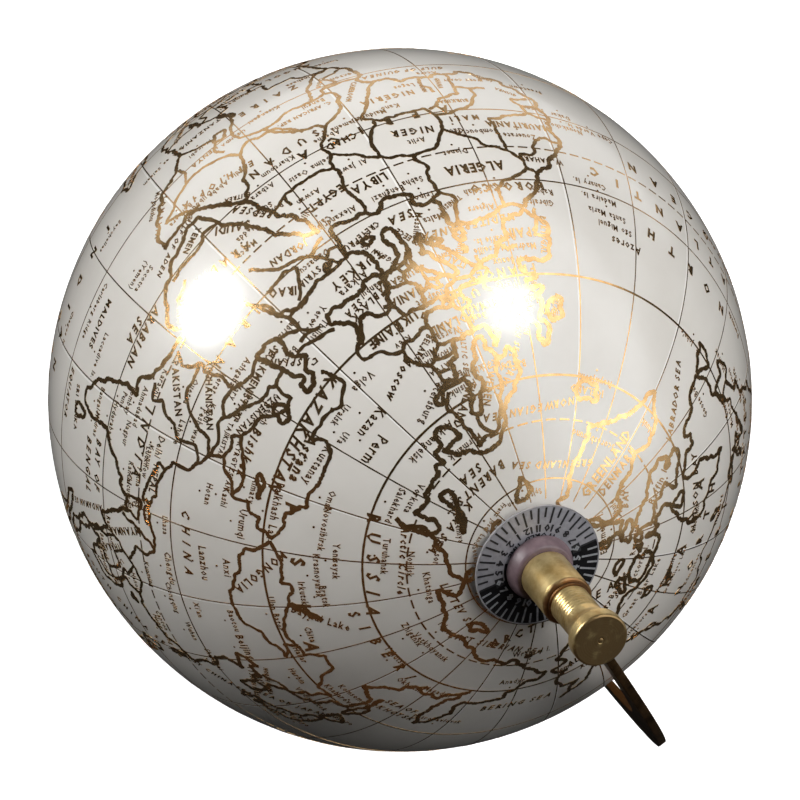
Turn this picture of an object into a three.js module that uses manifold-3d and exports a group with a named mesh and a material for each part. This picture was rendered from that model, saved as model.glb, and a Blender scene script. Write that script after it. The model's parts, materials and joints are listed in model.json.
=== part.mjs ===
// A table globe on a turned stand: a printed ball that spins between the two ends of a flat brass
// arc, with an hour dial that turns on its own at the north pole.
//
// Millimetres, +Z up, +X on the side that the arc passes, origin under the middle of the base.
// The ball and all that shares its axis are drawn upright and leaned over by one group.

import * as THREE from "three";
import { mergeVertices } from "three/addons/utils/BufferGeometryUtils.js";
import Module from "manifold-3d";

const wasm = await Module();
wasm.setup();

// ---------------------------------------------------------------- driving dimensions

const BALL_R = 100; // printed ball, 200 mm across
const SHELL_T = 2.5; // wall of the two half shells
const BALL_HEIGHT = 170; // centre of the ball above the table
const AXIS_LEAN = THREE.MathUtils.degToRad(23.5); // from upright, towards +X

const ARC_INNER_R = 1.1 * BALL_R;
const ARC_OUTER_R = 1.225 * BALL_R;
const ARC_T = 2.4; // flat strip, lying in the XZ plane

const PIN_R = 2.6; // pivot pins that the ball turns on
const RUNNING_R = PIN_R + 0.08; // bores that turn on the pins
const BOSS_R = 6.6; // sleeves at the ends of the arc
const BOSS_START = 1.063 * BALL_R; // distances from the ball's centre, along its axis
const BOSS_END = 1.21 * BALL_R;
const NECK_R = 5.2;
const HEAD_R = 7.2;
const KNOB_END = 1.408 * BALL_R;

const DIAL_R = 0.17 * BALL_R;
const DIAL_T = 0.7;
const DIAL_START = 1.0095 * BALL_R;
const SPACER_R = 9;

const BASE_R = 60;
const FELT_T = 1.5;
const BASE_TOP = 26;
const FERRULE_TOP = 29.2;
const SADDLE_START = 38;
const SADDLE_END = 57;
const SADDLE_R = 9.5;
const SADDLE_FLAT = 6.5; // half the width across the saddle's two flats
const ROD_R = 3;
const RIVET_R = 1.4;
const RIVET_X = 5;
const RIVET_Z = 52.2;

const FIT = 0.1; // air between two pieces that only touch
const SLIP = 0.25; // air round a piece that sits in a hole or slot

// ---------------------------------------------------------------- materials

function material(color, roughness, metalness) {
  return new THREE.MeshStandardMaterial({ color, roughness, metalness });
}

const turnedBrass = material(0xa08a52, 0.34, 1);
const agedBrass = material(0x4a3320, 0.45, 1);
const steel = material(0x8d8f92, 0.35, 1);
const iron = material(0x3b3b3d, 0.7, 1);
const printedBoard = material(0xf0edea, 0.12, 0);
const bareBoard = material(0xb9a98c, 0.85, 0);
const dialCard = material(0xb4b4b4, 0.4, 0);
const mauvePlastic = material(0x8a6b70, 0.45, 0);
const nylon = material(0xdcd8cf, 0.5, 0);
const darkWood = material(0x3a2116, 0.3, 0);
const felt = material(0x1d3a2a, 0.95, 0);

// ---------------------------------------------------------------- shape helpers

/** Turns a closed outline of [radius, z] points about Z. Points on the axis become one vertex. */
function turned(outline, segments) {
  const area = outline.reduce((sum, [r, z], i) => {
    const [rNext, zNext] = outline[(i + 1) % outline.length];
    return sum + r * zNext - rNext * z;
  }, 0);
  const points = area > 0 ? outline : [...outline].reverse();
  const positions = [];
  const rings = points.map(([r, z]) => {
    const start = positions.length / 3;
    const onAxis = r < 1e-6;
    for (let i = 0; i < (onAxis ? 1 : segments); i++) {
      const turn = (2 * Math.PI * i) / segments;
      positions.push(r * Math.cos(turn), r * Math.sin(turn), z);
    }
    return (i) => (onAxis ? start : start + (i % segments));
  });
  const index = [];
  rings.forEach((ring, k) => {
    const next = rings[(k + 1) % rings.length];
    for (let i = 0; i < segments; i++) {
      const corners = [ring(i), ring(i + 1), next(i + 1), next(i)];
      for (const [a, b, c] of [[0, 1, 2], [0, 2, 3]]) {
        const face = [corners[a], corners[b], corners[c]];
        if (new Set(face).size === 3) index.push(...face);
      }
    }
  });
  const geometry = new THREE.BufferGeometry();
  geometry.setAttribute("position", new THREE.Float32BufferAttribute(positions, 3));
  geometry.setIndex(index);
  geometry.computeVertexNormals();
  return geometry;
}

/** Points on an arc about [cr, cz], from one angle to another in degrees, 0 along +r. */
function arcPoints(cr, cz, radius, from, to, steps) {
  return Array.from({ length: steps + 1 }, (_, i) => {
    const turn = THREE.MathUtils.degToRad(from + ((to - from) * i) / steps);
    return [cr + radius * Math.cos(turn), cz + radius * Math.sin(turn)];
  });
}

/** A plain ring or washer between two radii and two heights. */
function ring(inner, outer, low, high) {
  return [[inner, low], [outer, low], [outer, high], [inner, high]];
}

/** The same outline at the south end of the axis. */
function mirrored(outline) {
  return outline.map(([r, z]) => [r, -z]);
}

function toManifold(geometry) {
  const plain = new THREE.BufferGeometry();
  plain.setAttribute("position", geometry.getAttribute("position"));
  plain.setIndex(geometry.getIndex());
  const merged = mergeVertices(plain, 1e-4);
  return new wasm.Manifold(
    new wasm.Mesh({
      numProp: 3,
      vertProperties: new Float32Array(merged.getAttribute("position").array),
      triVerts: new Uint32Array(merged.getIndex().array),
    }),
  );
}

function fromManifold(solid) {
  const mesh = solid.getMesh();
  const geometry = new THREE.BufferGeometry();
  geometry.setAttribute("position", new THREE.Float32BufferAttribute(mesh.vertProperties, 3));
  geometry.setIndex([...mesh.triVerts]);
  return geometry;
}

/** Joins equal corners of a geometry and drops the triangles that this leaves with no area. */
function welded(geometry) {
  const plain = new THREE.BufferGeometry();
  plain.setAttribute("position", geometry.getAttribute("position"));
  plain.setIndex(geometry.getIndex());
  const merged = mergeVertices(plain, 1e-3);
  const corners = [...merged.getIndex().array];
  const index = [];
  for (let i = 0; i < corners.length; i += 3) {
    const face = corners.slice(i, i + 3);
    if (new Set(face).size === 3) index.push(...face);
  }
  merged.setIndex(index);
  return merged;
}

/** Cuts one or more solids out of a geometry. */
function cut(geometry, ...cutters) {
  return fromManifold(cutters.reduce((solid, cutter) => solid.subtract(cutter), toManifold(geometry)));
}

function addPart(group, name, geometry, partMaterial) {
  const mesh = new THREE.Mesh(geometry, partMaterial);
  mesh.name = name;
  group.add(mesh);
  return mesh;
}

// ---------------------------------------------------------------- the ball

function halfShell() {
  const hole = 5.2;
  const lap = 0.05; // half the joint line at the equator
  const reach = (radius) => THREE.MathUtils.radToDeg(Math.acos(hole / radius));
  const inner = BALL_R - SHELL_T;
  const outside = arcPoints(0, 0, BALL_R, 0, reach(BALL_R), 12);
  const inside = arcPoints(0, 0, inner, reach(inner), 0, 10);
  outside[0][1] = lap;
  inside[inside.length - 1][1] = lap;
  return [...outside, ...inside];
}

function grommet() {
  const underShell = 97;
  return [
    [RUNNING_R, 93.6],
    [8, 93.6],
    [8, underShell],
    [5, underShell],
    [5, BALL_R + 0.1],
    [RUNNING_R, BALL_R + 0.1],
  ];
}

function addBall(axisGroup) {
  addPart(axisGroup, "ball_north", turned(halfShell(), 40), printedBoard);
  addPart(axisGroup, "ball_south", turned(mirrored(halfShell()), 40), printedBoard);
  addPart(axisGroup, "equator_ring", turned(ring(94.6, 96.7, -8, 8), 40), bareBoard);
  addPart(axisGroup, "north_grommet", turned(grommet(), 24), nylon);
  addPart(axisGroup, "south_grommet", turned(mirrored(grommet()), 24), nylon);
}

// ---------------------------------------------------------------- the hour dial

function addDial(axisGroup) {
  const dialEnd = DIAL_START + DIAL_T;
  const rim = 0.2;
  const dial = [
    [RUNNING_R, DIAL_START],
    [DIAL_R - rim, DIAL_START],
    [DIAL_R, DIAL_START + rim],
    [DIAL_R, dialEnd - rim],
    [DIAL_R - rim, dialEnd],
    [RUNNING_R, dialEnd],
  ];
  addPart(axisGroup, "hour_dial", turned(dial, 48), dialCard);
  const hub = ring(RUNNING_R, 5.5, BALL_R + 0.25, DIAL_START);
  addPart(axisGroup, "dial_hub", turned(hub, 24), nylon);
}

// ---------------------------------------------------------------- the arc and its two pivots

/** The flat strip: an arc with a straight tang at each end for the slot in a sleeve. */
function arcStrip() {
  const tangX = 4.8;
  const shoulderX = 9.6;
  const tangLow = Math.sqrt(ARC_INNER_R ** 2 - shoulderX ** 2);
  const tangHigh = BOSS_END - 0.4;
  const angleAt = (radius, x) => Math.acos(x / radius);
  const shape = new THREE.Shape();
  const outerEnd = angleAt(ARC_OUTER_R, shoulderX);
  const innerEnd = angleAt(ARC_INNER_R, shoulderX);
  shape.moveTo(tangX, tangHigh);
  shape.absarc(0, 0, ARC_OUTER_R, outerEnd, -outerEnd, true);
  shape.lineTo(tangX, -tangHigh);
  shape.lineTo(tangX, -tangLow);
  shape.absarc(0, 0, ARC_INNER_R, -innerEnd, innerEnd, false);
  shape.lineTo(tangX, tangLow);
  shape.closePath();
  // Holes for the two saddle screws, in the frame that leans with the axis.
  for (const x of [-RIVET_X, RIVET_X]) {
    const z = RIVET_Z - BALL_HEIGHT;
    const across = x * Math.cos(AXIS_LEAN) - z * Math.sin(AXIS_LEAN);
    const along = x * Math.sin(AXIS_LEAN) + z * Math.cos(AXIS_LEAN);
    const rim = new THREE.EllipseCurve(across, along, RIVET_R + 0.15, RIVET_R + 0.15);
    shape.holes.push(new THREE.Path(rim.getPoints(16)));
  }
  const strip = new THREE.ExtrudeGeometry(shape, {
    depth: ARC_T,
    bevelEnabled: false,
    curveSegments: 36,
  });
  strip.rotateX(Math.PI / 2); // the shape's Y becomes Z
  strip.translate(0, ARC_T / 2, 0);
  return welded(strip);
}

function boss() {
  const chamfer = 0.6;
  return [
    [RUNNING_R, BOSS_START],
    [BOSS_R - 0.3, BOSS_START],
    [BOSS_R, BOSS_START + 0.3],
    [BOSS_R, BOSS_END - chamfer],
    [BOSS_R - chamfer, BOSS_END],
    [RUNNING_R, BOSS_END],
  ];
}

/** The slot that a sleeve has for the arc's tang, as a solid to cut away. */
function tangSlot() {
  const depth = 4.6;
  const box = new THREE.BoxGeometry(10, ARC_T + 2 * 0.12, 4 * ARC_OUTER_R);
  box.translate(depth + 5, 0, 0);
  return toManifold(box);
}

/** Pin, neck, flared head and flat end face in one turned piece. */
function northKnob() {
  const neckStart = BOSS_END + 0.85;
  const flareStart = 131.5;
  const flareEnd = 137.2;
  const flare = Array.from({ length: 7 }, (_, i) => {
    const t = i / 6;
    return [NECK_R + (HEAD_R - 0.15 - NECK_R) * t * t, flareStart + (flareEnd - flareStart) * t];
  });
  return [
    [0, 89],
    [PIN_R - 0.6, 89],
    [PIN_R, 89.6],
    [PIN_R, neckStart],
    [NECK_R, neckStart],
    ...flare,
    [HEAD_R, flareEnd + 0.5],
    [HEAD_R, KNOB_END - 0.35],
    [HEAD_R - 0.35, KNOB_END],
    [0, KNOB_END],
  ];
}

function southPivot() {
  const headStart = BOSS_END + 0.8;
  const dome = arcPoints(0, headStart + 0.6, 5.2, 0, 90, 6).map(([r, z]) => [
    r,
    headStart + 0.6 + (z - headStart - 0.6) * 0.62,
  ]);
  return [[0, 89], [PIN_R - 0.6, 89], [PIN_R, 89.6], [PIN_R, headStart], [5.2, headStart], ...dome];
}

function addPivots(axisGroup) {
  addPart(axisGroup, "meridian_arc", arcStrip(), agedBrass);
  addPart(axisGroup, "north_boss", cut(turned(boss(), 32), tangSlot()), turnedBrass);
  addPart(axisGroup, "south_boss", cut(turned(mirrored(boss()), 32), tangSlot()), turnedBrass);

  const lockRing = ring(RUNNING_R, NECK_R + 0.4, BOSS_END + FIT, BOSS_END + 0.75);
  addPart(axisGroup, "north_lock_ring", turned(lockRing, 32), agedBrass);
  addPart(axisGroup, "south_lock_ring", turned(mirrored(lockRing), 32), steel);
  addPart(axisGroup, "north_knob", turned(northKnob(), 36), turnedBrass);

  const screwSlot = new THREE.BoxGeometry(14, 1.1, 1.6);
  screwSlot.translate(0, 0, -(BOSS_END + 0.8 + 0.6 + 5.2 * 0.62));
  const southScrew = cut(turned(mirrored(southPivot()), 32), toManifold(screwSlot));
  addPart(axisGroup, "south_pivot_screw", southScrew, turnedBrass);

  const spacerStart = DIAL_START + DIAL_T + 0.15;
  const northSpacer = [
    [RUNNING_R, spacerStart],
    [SPACER_R - 0.3, spacerStart],
    [SPACER_R, spacerStart + 0.4],
    [SPACER_R - 0.7, BOSS_START - FIT - 0.4],
    [SPACER_R - 1.2, BOSS_START - FIT],
    [RUNNING_R, BOSS_START - FIT],
  ];
  addPart(axisGroup, "north_spacer", turned(northSpacer, 36), mauvePlastic);
  const southSpacer = [
    [RUNNING_R, BALL_R + 0.25],
    [7.2, BALL_R + 0.25],
    [7.5, BALL_R + 0.6],
    [6.9, BOSS_START - FIT],
    [RUNNING_R, BOSS_START - FIT],
  ];
  addPart(axisGroup, "south_spacer", turned(mirrored(southSpacer), 32), mauvePlastic);
}

// ---------------------------------------------------------------- the stand

/** Wooden base: a rounded foot, an ogee rising to a small collar, and hollows cut from below. */
function baseDisc() {
  const foot = arcPoints(BASE_R - 3, 4.5, 3, 0, 90, 4);
  const cove = Array.from({ length: 11 }, (_, i) => {
    const t = i / 10;
    const rise = (1 - Math.cos(Math.PI * t)) / 2;
    return [54.5 - 38.5 * t, 8.6 + 13.6 * Math.pow(rise, 1.15)];
  });
  const hollows = [
    [ROD_R + SLIP, BASE_TOP],
    [ROD_R + SLIP, 8],
    [9, 8],
    [9, FELT_T],
    [18, FELT_T],
    [18, 9],
    [50, 9],
    [50, FELT_T],
  ];
  return [[BASE_R, FELT_T], ...foot, [55.5, 7.5], ...cove, [15.2, 22.4], [14.6, BASE_TOP], ...hollows];
}

function addBase(stand) {
  addPart(stand, "base_felt", turned([[0, 0], [BASE_R - 2, 0], [BASE_R - 2, FELT_T], [0, FELT_T]], 48), felt);
  addPart(stand, "base_disc", turned(baseDisc(), 48), darkWood);
  addPart(stand, "base_weight", turned(ring(18 + SLIP, 50 - SLIP, FELT_T + FIT, 8.7), 32), iron);
  addPart(stand, "base_washer", turned(ring(ROD_R + SLIP, 8.4, 6.9, 7.9), 24), steel);
  addPart(stand, "base_nut", turned(ring(3.65, 5.77, FELT_T + 0.4, 6.8), 6), steel);
  const rod = [[0, 2.2], [ROD_R - 0.4, 2.2], [ROD_R, 2.6], [ROD_R, 43.6], [ROD_R - 0.4, 44], [0, 44]];
  addPart(stand, "tie_rod", turned(rod, 24), steel);
}

function addStem(stand) {
  const bore = ROD_R + SLIP;
  const bead = arcPoints(11.6, (BASE_TOP + FERRULE_TOP) / 2 + 0.05, 1.5, -90, 90, 6);
  const ferrule = [[bore, BASE_TOP + FIT], ...bead, [bore, bead[bead.length - 1][1]]];
  addPart(stand, "stem_ferrule", turned(ferrule, 40), turnedBrass);

  const low = FERRULE_TOP;
  const high = SADDLE_START - FIT;
  const waist = Array.from({ length: 9 }, (_, i) => {
    const t = i / 8;
    return [10.4 - 4.6 * Math.sin(Math.PI * t * 0.62), low + 0.6 + (high - low - 1.2) * t];
  });
  const column = [[bore, low], [10.4, low], ...waist, [waist[8][0] + 0.8, high], [bore, high]];
  addPart(stand, "stem_column", turned(column, 36), turnedBrass);
}

/** Forked head of the stem: two flats, a slot that the arc sits in, and two cross holes. */
function addSaddle(stand) {
  const hollow = 44.4;
  const outline = [
    [0, hollow],
    [ROD_R + SLIP, hollow],
    [ROD_R + SLIP, SADDLE_START],
    [7.6, SADDLE_START],
    [SADDLE_R, SADDLE_START + 3],
    [SADDLE_R, SADDLE_END - 1.2],
    [SADDLE_R - 1.2, SADDLE_END],
    [0, SADDLE_END],
  ];
  const slot = new THREE.CylinderGeometry(ARC_OUTER_R + SLIP, ARC_OUTER_R + SLIP, ARC_T + 2 * 0.12, 120);
  slot.translate(0, 0, BALL_HEIGHT);
  const sides = [-1, 1].map((side) => {
    const flat = new THREE.BoxGeometry(40, 10, 40);
    flat.translate(0, side * (SADDLE_FLAT + 5), SADDLE_END);
    return toManifold(flat);
  });
  const holes = [-RIVET_X, RIVET_X].map((x) => {
    const hole = new THREE.CylinderGeometry(RIVET_R + 0.15, RIVET_R + 0.15, 30, 20);
    hole.translate(x, 0, RIVET_Z);
    return toManifold(hole);
  });
  const saddle = cut(turned(outline, 36), toManifold(slot), ...sides, ...holes);
  addPart(stand, "arc_saddle", saddle, turnedBrass);

  const headT = 1.5;
  const domed = [
    [0, -headT],
    [1.2, -headT],
    [2.3, -headT * 0.75],
    [2.7, -headT * 0.25],
    [2.7, 0],
    [RIVET_R, 0],
  ];
  const screwEnd = 2 * SADDLE_FLAT + 2.4;
  const screw = [...domed, [RIVET_R, screwEnd], [0, screwEnd]];
  const nut = [
    [0, 2.7],
    [1.7, 2.7],
    [1.7, 0],
    [2.9, 0],
    [2.9, 2],
    [2.1, 3.1],
    [1, 3.7],
    [0, 3.8],
  ];
  [["left", -RIVET_X], ["right", RIVET_X]].forEach(([side, x]) => {
    const body = addPart(stand, `saddle_screw_${side}`, turned(screw, 20), turnedBrass);
    body.rotation.x = -Math.PI / 2; // its length runs along +Y
    body.position.set(x, -SADDLE_FLAT - FIT, RIVET_Z);
    const cap = addPart(stand, `saddle_nut_${side}`, turned(nut, 6), turnedBrass);
    cap.rotation.x = -Math.PI / 2;
    cap.position.set(x, SADDLE_FLAT + FIT, RIVET_Z);
  });
}

// ---------------------------------------------------------------- assembly

const globe = new THREE.Group();
globe.name = "table_globe";

const stand = new THREE.Group();
addBase(stand);
addStem(stand);
addSaddle(stand);

const axisGroup = new THREE.Group();
axisGroup.position.z = BALL_HEIGHT;
axisGroup.rotation.y = AXIS_LEAN;
addBall(axisGroup);
addDial(axisGroup);
addPivots(axisGroup);

globe.add(stand, axisGroup);

export default globe;
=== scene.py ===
"""Looks for the table globe: a glossy printed ball, its hour dial, brass fittings and turned stand.

Metres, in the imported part's own frame. Everything that shares the ball's axis is drawn upright in a
polar frame (+Z to the north pole, +X towards the arc) and leaned over by one matrix.
"""

import json
import math
import random

import bmesh
import bpy
import numpy as np
from mathutils import Matrix, Vector


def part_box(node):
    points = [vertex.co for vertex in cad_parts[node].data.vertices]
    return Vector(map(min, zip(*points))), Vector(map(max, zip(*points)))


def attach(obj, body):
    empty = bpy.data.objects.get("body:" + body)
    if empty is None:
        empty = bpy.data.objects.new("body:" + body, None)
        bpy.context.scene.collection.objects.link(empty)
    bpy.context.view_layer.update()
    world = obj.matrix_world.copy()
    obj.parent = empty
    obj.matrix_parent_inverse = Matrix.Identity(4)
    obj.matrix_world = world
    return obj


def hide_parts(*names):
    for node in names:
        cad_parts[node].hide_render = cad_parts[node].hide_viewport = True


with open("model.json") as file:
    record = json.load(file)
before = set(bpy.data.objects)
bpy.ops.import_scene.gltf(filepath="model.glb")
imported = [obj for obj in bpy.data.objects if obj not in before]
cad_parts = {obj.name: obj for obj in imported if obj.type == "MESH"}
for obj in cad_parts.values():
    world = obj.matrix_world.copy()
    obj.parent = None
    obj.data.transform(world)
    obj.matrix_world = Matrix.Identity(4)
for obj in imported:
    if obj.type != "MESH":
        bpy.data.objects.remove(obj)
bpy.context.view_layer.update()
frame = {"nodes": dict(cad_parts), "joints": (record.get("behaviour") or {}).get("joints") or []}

MM = 0.001

# ------------------------------------------------------------------ sizes from the frame

SPIN = next(j for j in frame["joints"] if j["name"] == "globe_spin")
CENTRE = Vector(SPIN["pos_m"])
AXIS = Vector(SPIN["axis"]).normalized()
LEAN = math.atan2(AXIS.x, AXIS.z)
POLAR = Matrix.Translation(CENTRE) @ Matrix.Rotation(LEAN, 4, "Y")
TO_POLAR = POLAR.inverted()


def reach(node):
    """Lowest and highest distance along the ball's axis of a node, and its largest radius."""
    points = [TO_POLAR @ v.co for v in frame["nodes"][node].data.vertices]
    heights = [p.z for p in points]
    return min(heights), max(heights), max(math.hypot(p.x, p.y) for p in points)


BALL_R = (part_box("ball_north")[1][1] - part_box("ball_north")[0][1]) / 2
DIAL_LOW, DIAL_TOP, DIAL_R = reach("hour_dial")
SPACER_LOW, SPACER_TOP, SPACER_R = reach("north_spacer")
BOSS_LOW, BOSS_TOP, BOSS_R = reach("north_boss")
KNOB_LOW, KNOB_TOP, HEAD_R = reach("north_knob")
ARC_POINTS = [TO_POLAR @ v.co for v in frame["nodes"]["meridian_arc"].data.vertices]
ARC_INNER = min(p.length for p in ARC_POINTS if p.x > 30 * MM)  # well clear of its two ends
PIN_R, PIN_HOLE = 2.6 * MM, 2.7 * MM  # the pivot pins, and the holes of what sits round them
ROD_HOLE = 3.25 * MM  # in the pieces of the stand that the tie rod holds together

# ------------------------------------------------------------------ node helpers


def new_material(name):
    material = bpy.data.materials.new(name)
    material.use_nodes = True
    tree = material.node_tree
    return material, tree, tree.nodes["Principled BSDF"]


def add(tree, kind, inputs=None, **settings):
    """A node with its settings and inputs; an input may be a value or another node's output."""
    node = tree.nodes.new(kind)
    for key, value in settings.items():
        setattr(node, key, value)
    for key, value in (inputs or {}).items():
        if isinstance(value, bpy.types.NodeSocket):
            tree.links.new(value, node.inputs[key])
        else:
            node.inputs[key].default_value = value
    return node


def object_coords(tree, polar=False):
    """Coordinates fixed to the piece. With polar, radius and height in the polar frame."""
    coords = add(tree, "ShaderNodeTexCoord").outputs["Object"]
    if not polar:
        return coords
    local = add(tree, "ShaderNodeMapping", {"Vector": coords}, vector_type="TEXTURE")
    local.inputs["Location"].default_value = CENTRE
    local.inputs["Rotation"].default_value = (0, LEAN, 0)
    parts = add(tree, "ShaderNodeSeparateXYZ", {"Vector": local.outputs["Vector"]})
    flat = add(tree, "ShaderNodeCombineXYZ", {"X": parts.outputs["X"], "Y": parts.outputs["Y"]})
    radius = add(tree, "ShaderNodeVectorMath", {0: flat.outputs["Vector"]}, operation="LENGTH")
    both = add(tree, "ShaderNodeCombineXYZ", {"X": radius.outputs["Value"], "Y": parts.outputs["Z"]})
    return both.outputs["Vector"]


def noise(tree, coords, scale, detail=3.0, roughness=0.5):
    inputs = {"Vector": coords, "Scale": scale, "Detail": detail, "Roughness": roughness}
    return add(tree, "ShaderNodeTexNoise", inputs).outputs["Fac"]


def ramp(tree, factor, stops):
    """A colour ramp from (position, colour) stops."""
    node = add(tree, "ShaderNodeValToRGB", {"Fac": factor})
    elements = node.color_ramp.elements
    while len(elements) < len(stops):
        elements.new(0.5)
    for element, (position, color) in zip(elements, stops):
        element.position = position
        element.color = (*color, 1)
    return node.outputs["Color"]


def spread(tree, factor, low, high):
    """Maps a 0..1 factor to a range of values."""
    node = add(tree, "ShaderNodeMapRange", {"Value": factor, "To Min": low, "To Max": high})
    return node.outputs["Result"]


def bump(tree, shader, height, strength, distance, socket="Normal"):
    node = add(tree, "ShaderNodeBump", {"Height": height, "Strength": strength, "Distance": distance})
    tree.links.new(node.outputs["Normal"], shader.inputs[socket])


def link(tree, output, shader, socket):
    tree.links.new(output, shader.inputs[socket])


# ------------------------------------------------------------------ materials


def paper_material():
    """Varnished pale print: faint mottling under a clear coat that is not quite flat."""
    material, tree, shader = new_material("varnished_paper")
    coords = object_coords(tree)
    mottle = noise(tree, coords, 70, 5)
    tones = [(0.3, (0.725, 0.692, 0.64)), (0.7, (0.775, 0.745, 0.695))]
    link(tree, ramp(tree, mottle, tones), shader, "Base Color")
    link(tree, spread(tree, noise(tree, coords, 500, 2), 0.32, 0.45), shader, "Roughness")
    shader.inputs["Coat Weight"].default_value = 1.0
    shader.inputs["Coat Roughness"].default_value = 0.145
    bump(tree, shader, noise(tree, coords, 45, 2), 0.06, 0.4 * MM, "Coat Normal")
    return material


def foil_material():
    """Bronze-gold foil print with a thin coat of varnish."""
    material, tree, shader = new_material("bronze_foil")
    coords = object_coords(tree)
    tone = noise(tree, coords, 260, 4, 0.6)
    tones = [(0.25, (0.54, 0.31, 0.125)), (0.75, (0.90, 0.60, 0.29))]
    link(tree, ramp(tree, tone, tones), shader, "Base Color")
    shader.inputs["Metallic"].default_value = 0.96
    link(tree, spread(tree, noise(tree, coords, 900, 2), 0.13, 0.27), shader, "Roughness")
    shader.inputs["Coat Weight"].default_value = 0.18
    shader.inputs["Coat Roughness"].default_value = 0.08
    return material


def seam_material():
    """The pale paper edge beside a meridian, where two printed gores meet."""
    material, tree, shader = new_material("paper_edge")
    tone = noise(tree, object_coords(tree), 400, 3)
    link(tree, ramp(tree, tone, [(0.3, (0.90, 0.88, 0.84)), (0.7, (0.96, 0.95, 0.92))]), shader, "Base Color")
    shader.inputs["Roughness"].default_value = 0.3
    shader.inputs["Coat Weight"].default_value = 1.0
    shader.inputs["Coat Roughness"].default_value = 0.04
    return material


def brass_material(name, dark, light, roughness, polar=True, rings=2600):
    """Turned or rolled brass: fine tool marks, small pits and cloudy tarnish."""
    material, tree, shader = new_material(name)
    coords = object_coords(tree, polar)
    plain = object_coords(tree)
    marks = noise(tree, coords, rings, 2, 0.7)
    cloud = noise(tree, plain, 190, 6, 0.65)
    pits = noise(tree, plain, 1500, 3, 0.6)
    link(tree, ramp(tree, cloud, [(0.34, dark), (0.6, light)]), shader, "Base Color")
    shader.inputs["Metallic"].default_value = 0.85
    link(tree, spread(tree, marks, roughness - 0.08, roughness + 0.12), shader, "Roughness")
    rough = add(tree, "ShaderNodeMath", {0: marks, 1: pits}, operation="ADD").outputs["Value"]
    bump(tree, shader, rough, 0.4, 0.05 * MM)
    return material


def blended(material, factor, color):
    """Mixes a second colour into a material by a factor made from its own coordinates."""
    tree = material.node_tree
    shader = tree.nodes["Principled BSDF"]
    before = shader.inputs["Base Color"].links[0].from_socket
    mix = add(tree, "ShaderNodeMix", {"Factor": factor}, data_type="RGBA")
    tree.links.new(before, mix.inputs["A"])
    mix.inputs["B"].default_value = (*color, 1)
    tree.links.new(mix.outputs["Result"], shader.inputs["Base Color"])


def stained_ends(material, start, end, color):
    """Brown stain near the outer end of a turned piece, with a ragged edge."""
    tree = material.node_tree
    height = add(tree, "ShaderNodeSeparateXYZ", {"Vector": object_coords(tree, True)}).outputs["Y"]
    away = add(tree, "ShaderNodeMath", {0: height}, operation="ABSOLUTE").outputs["Value"]
    ragged = spread(tree, noise(tree, object_coords(tree), 420, 4), -0.9 * MM, 0.9 * MM)
    moved = add(tree, "ShaderNodeMath", {0: away, 1: ragged}, operation="ADD").outputs["Value"]
    inputs = {"Value": moved, "From Min": start, "From Max": end}
    factor = add(tree, "ShaderNodeMapRange", inputs, interpolation_type="SMOOTHSTEP").outputs["Result"]
    blended(material, factor, color)


def painted_highlight_inside(material, radius, color):
    """Painted highlight: a strip coloured lighter on its inner edge, nearer the ball than a radius, where
    light catches it.
    """
    tree = material.node_tree
    coords = object_coords(tree, True)
    length = add(tree, "ShaderNodeVectorMath", {0: coords}, operation="LENGTH").outputs["Value"]
    inputs = {"Value": length, "From Min": radius, "From Max": radius + 0.5 * MM, "To Min": 1.0,
              "To Max": 0.0}
    factor = add(tree, "ShaderNodeMapRange", inputs).outputs["Result"]
    blended(material, factor, color)


def plastic_material(name, dark, light, roughness, grain=420):
    """An even, slightly clouded surface: plastics, inks, plated and cast metal, bare board."""
    material, tree, shader = new_material(name)
    coords = object_coords(tree)
    cloud = noise(tree, coords, grain, 4, 0.6)
    link(tree, ramp(tree, cloud, [(0.3, dark), (0.7, light)]), shader, "Base Color")
    link(tree, spread(tree, cloud, roughness - 0.06, roughness + 0.1), shader, "Roughness")
    bump(tree, shader, noise(tree, coords, grain * 5, 2), 0.15, 0.03 * MM)
    return material


def wood_material():
    """Dark stained turned wood: long grain across the base, pores, clear lacquer."""
    material, tree, shader = new_material("stained_wood")
    coords = object_coords(tree)
    stretched = add(tree, "ShaderNodeMapping", {"Vector": coords, "Scale": (1, 9, 9)}).outputs["Vector"]
    grain = noise(tree, stretched, 28, 6, 0.65)
    pores = noise(tree, stretched, 240, 3, 0.7)
    tones = [(0.28, (0.035, 0.014, 0.007)), (0.5, (0.10, 0.042, 0.018)), (0.72, (0.17, 0.075, 0.032))]
    link(tree, ramp(tree, grain, tones), shader, "Base Color")
    link(tree, spread(tree, pores, 0.28, 0.5), shader, "Roughness")
    shader.inputs["Coat Weight"].default_value = 0.7
    shader.inputs["Coat Roughness"].default_value = 0.12
    bump(tree, shader, pores, 0.2, 0.1 * MM)
    return material


def felt_material():
    material, tree, shader = new_material("green_felt")
    fibres = noise(tree, object_coords(tree), 1800, 6, 0.75)
    tones = [(0.3, (0.012, 0.035, 0.022)), (0.7, (0.035, 0.085, 0.055))]
    link(tree, ramp(tree, fibres, tones), shader, "Base Color")
    shader.inputs["Roughness"].default_value = 0.95
    shader.inputs["Sheen Weight"].default_value = 0.5
    bump(tree, shader, fibres, 0.8, 0.3 * MM)
    return material


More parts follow.
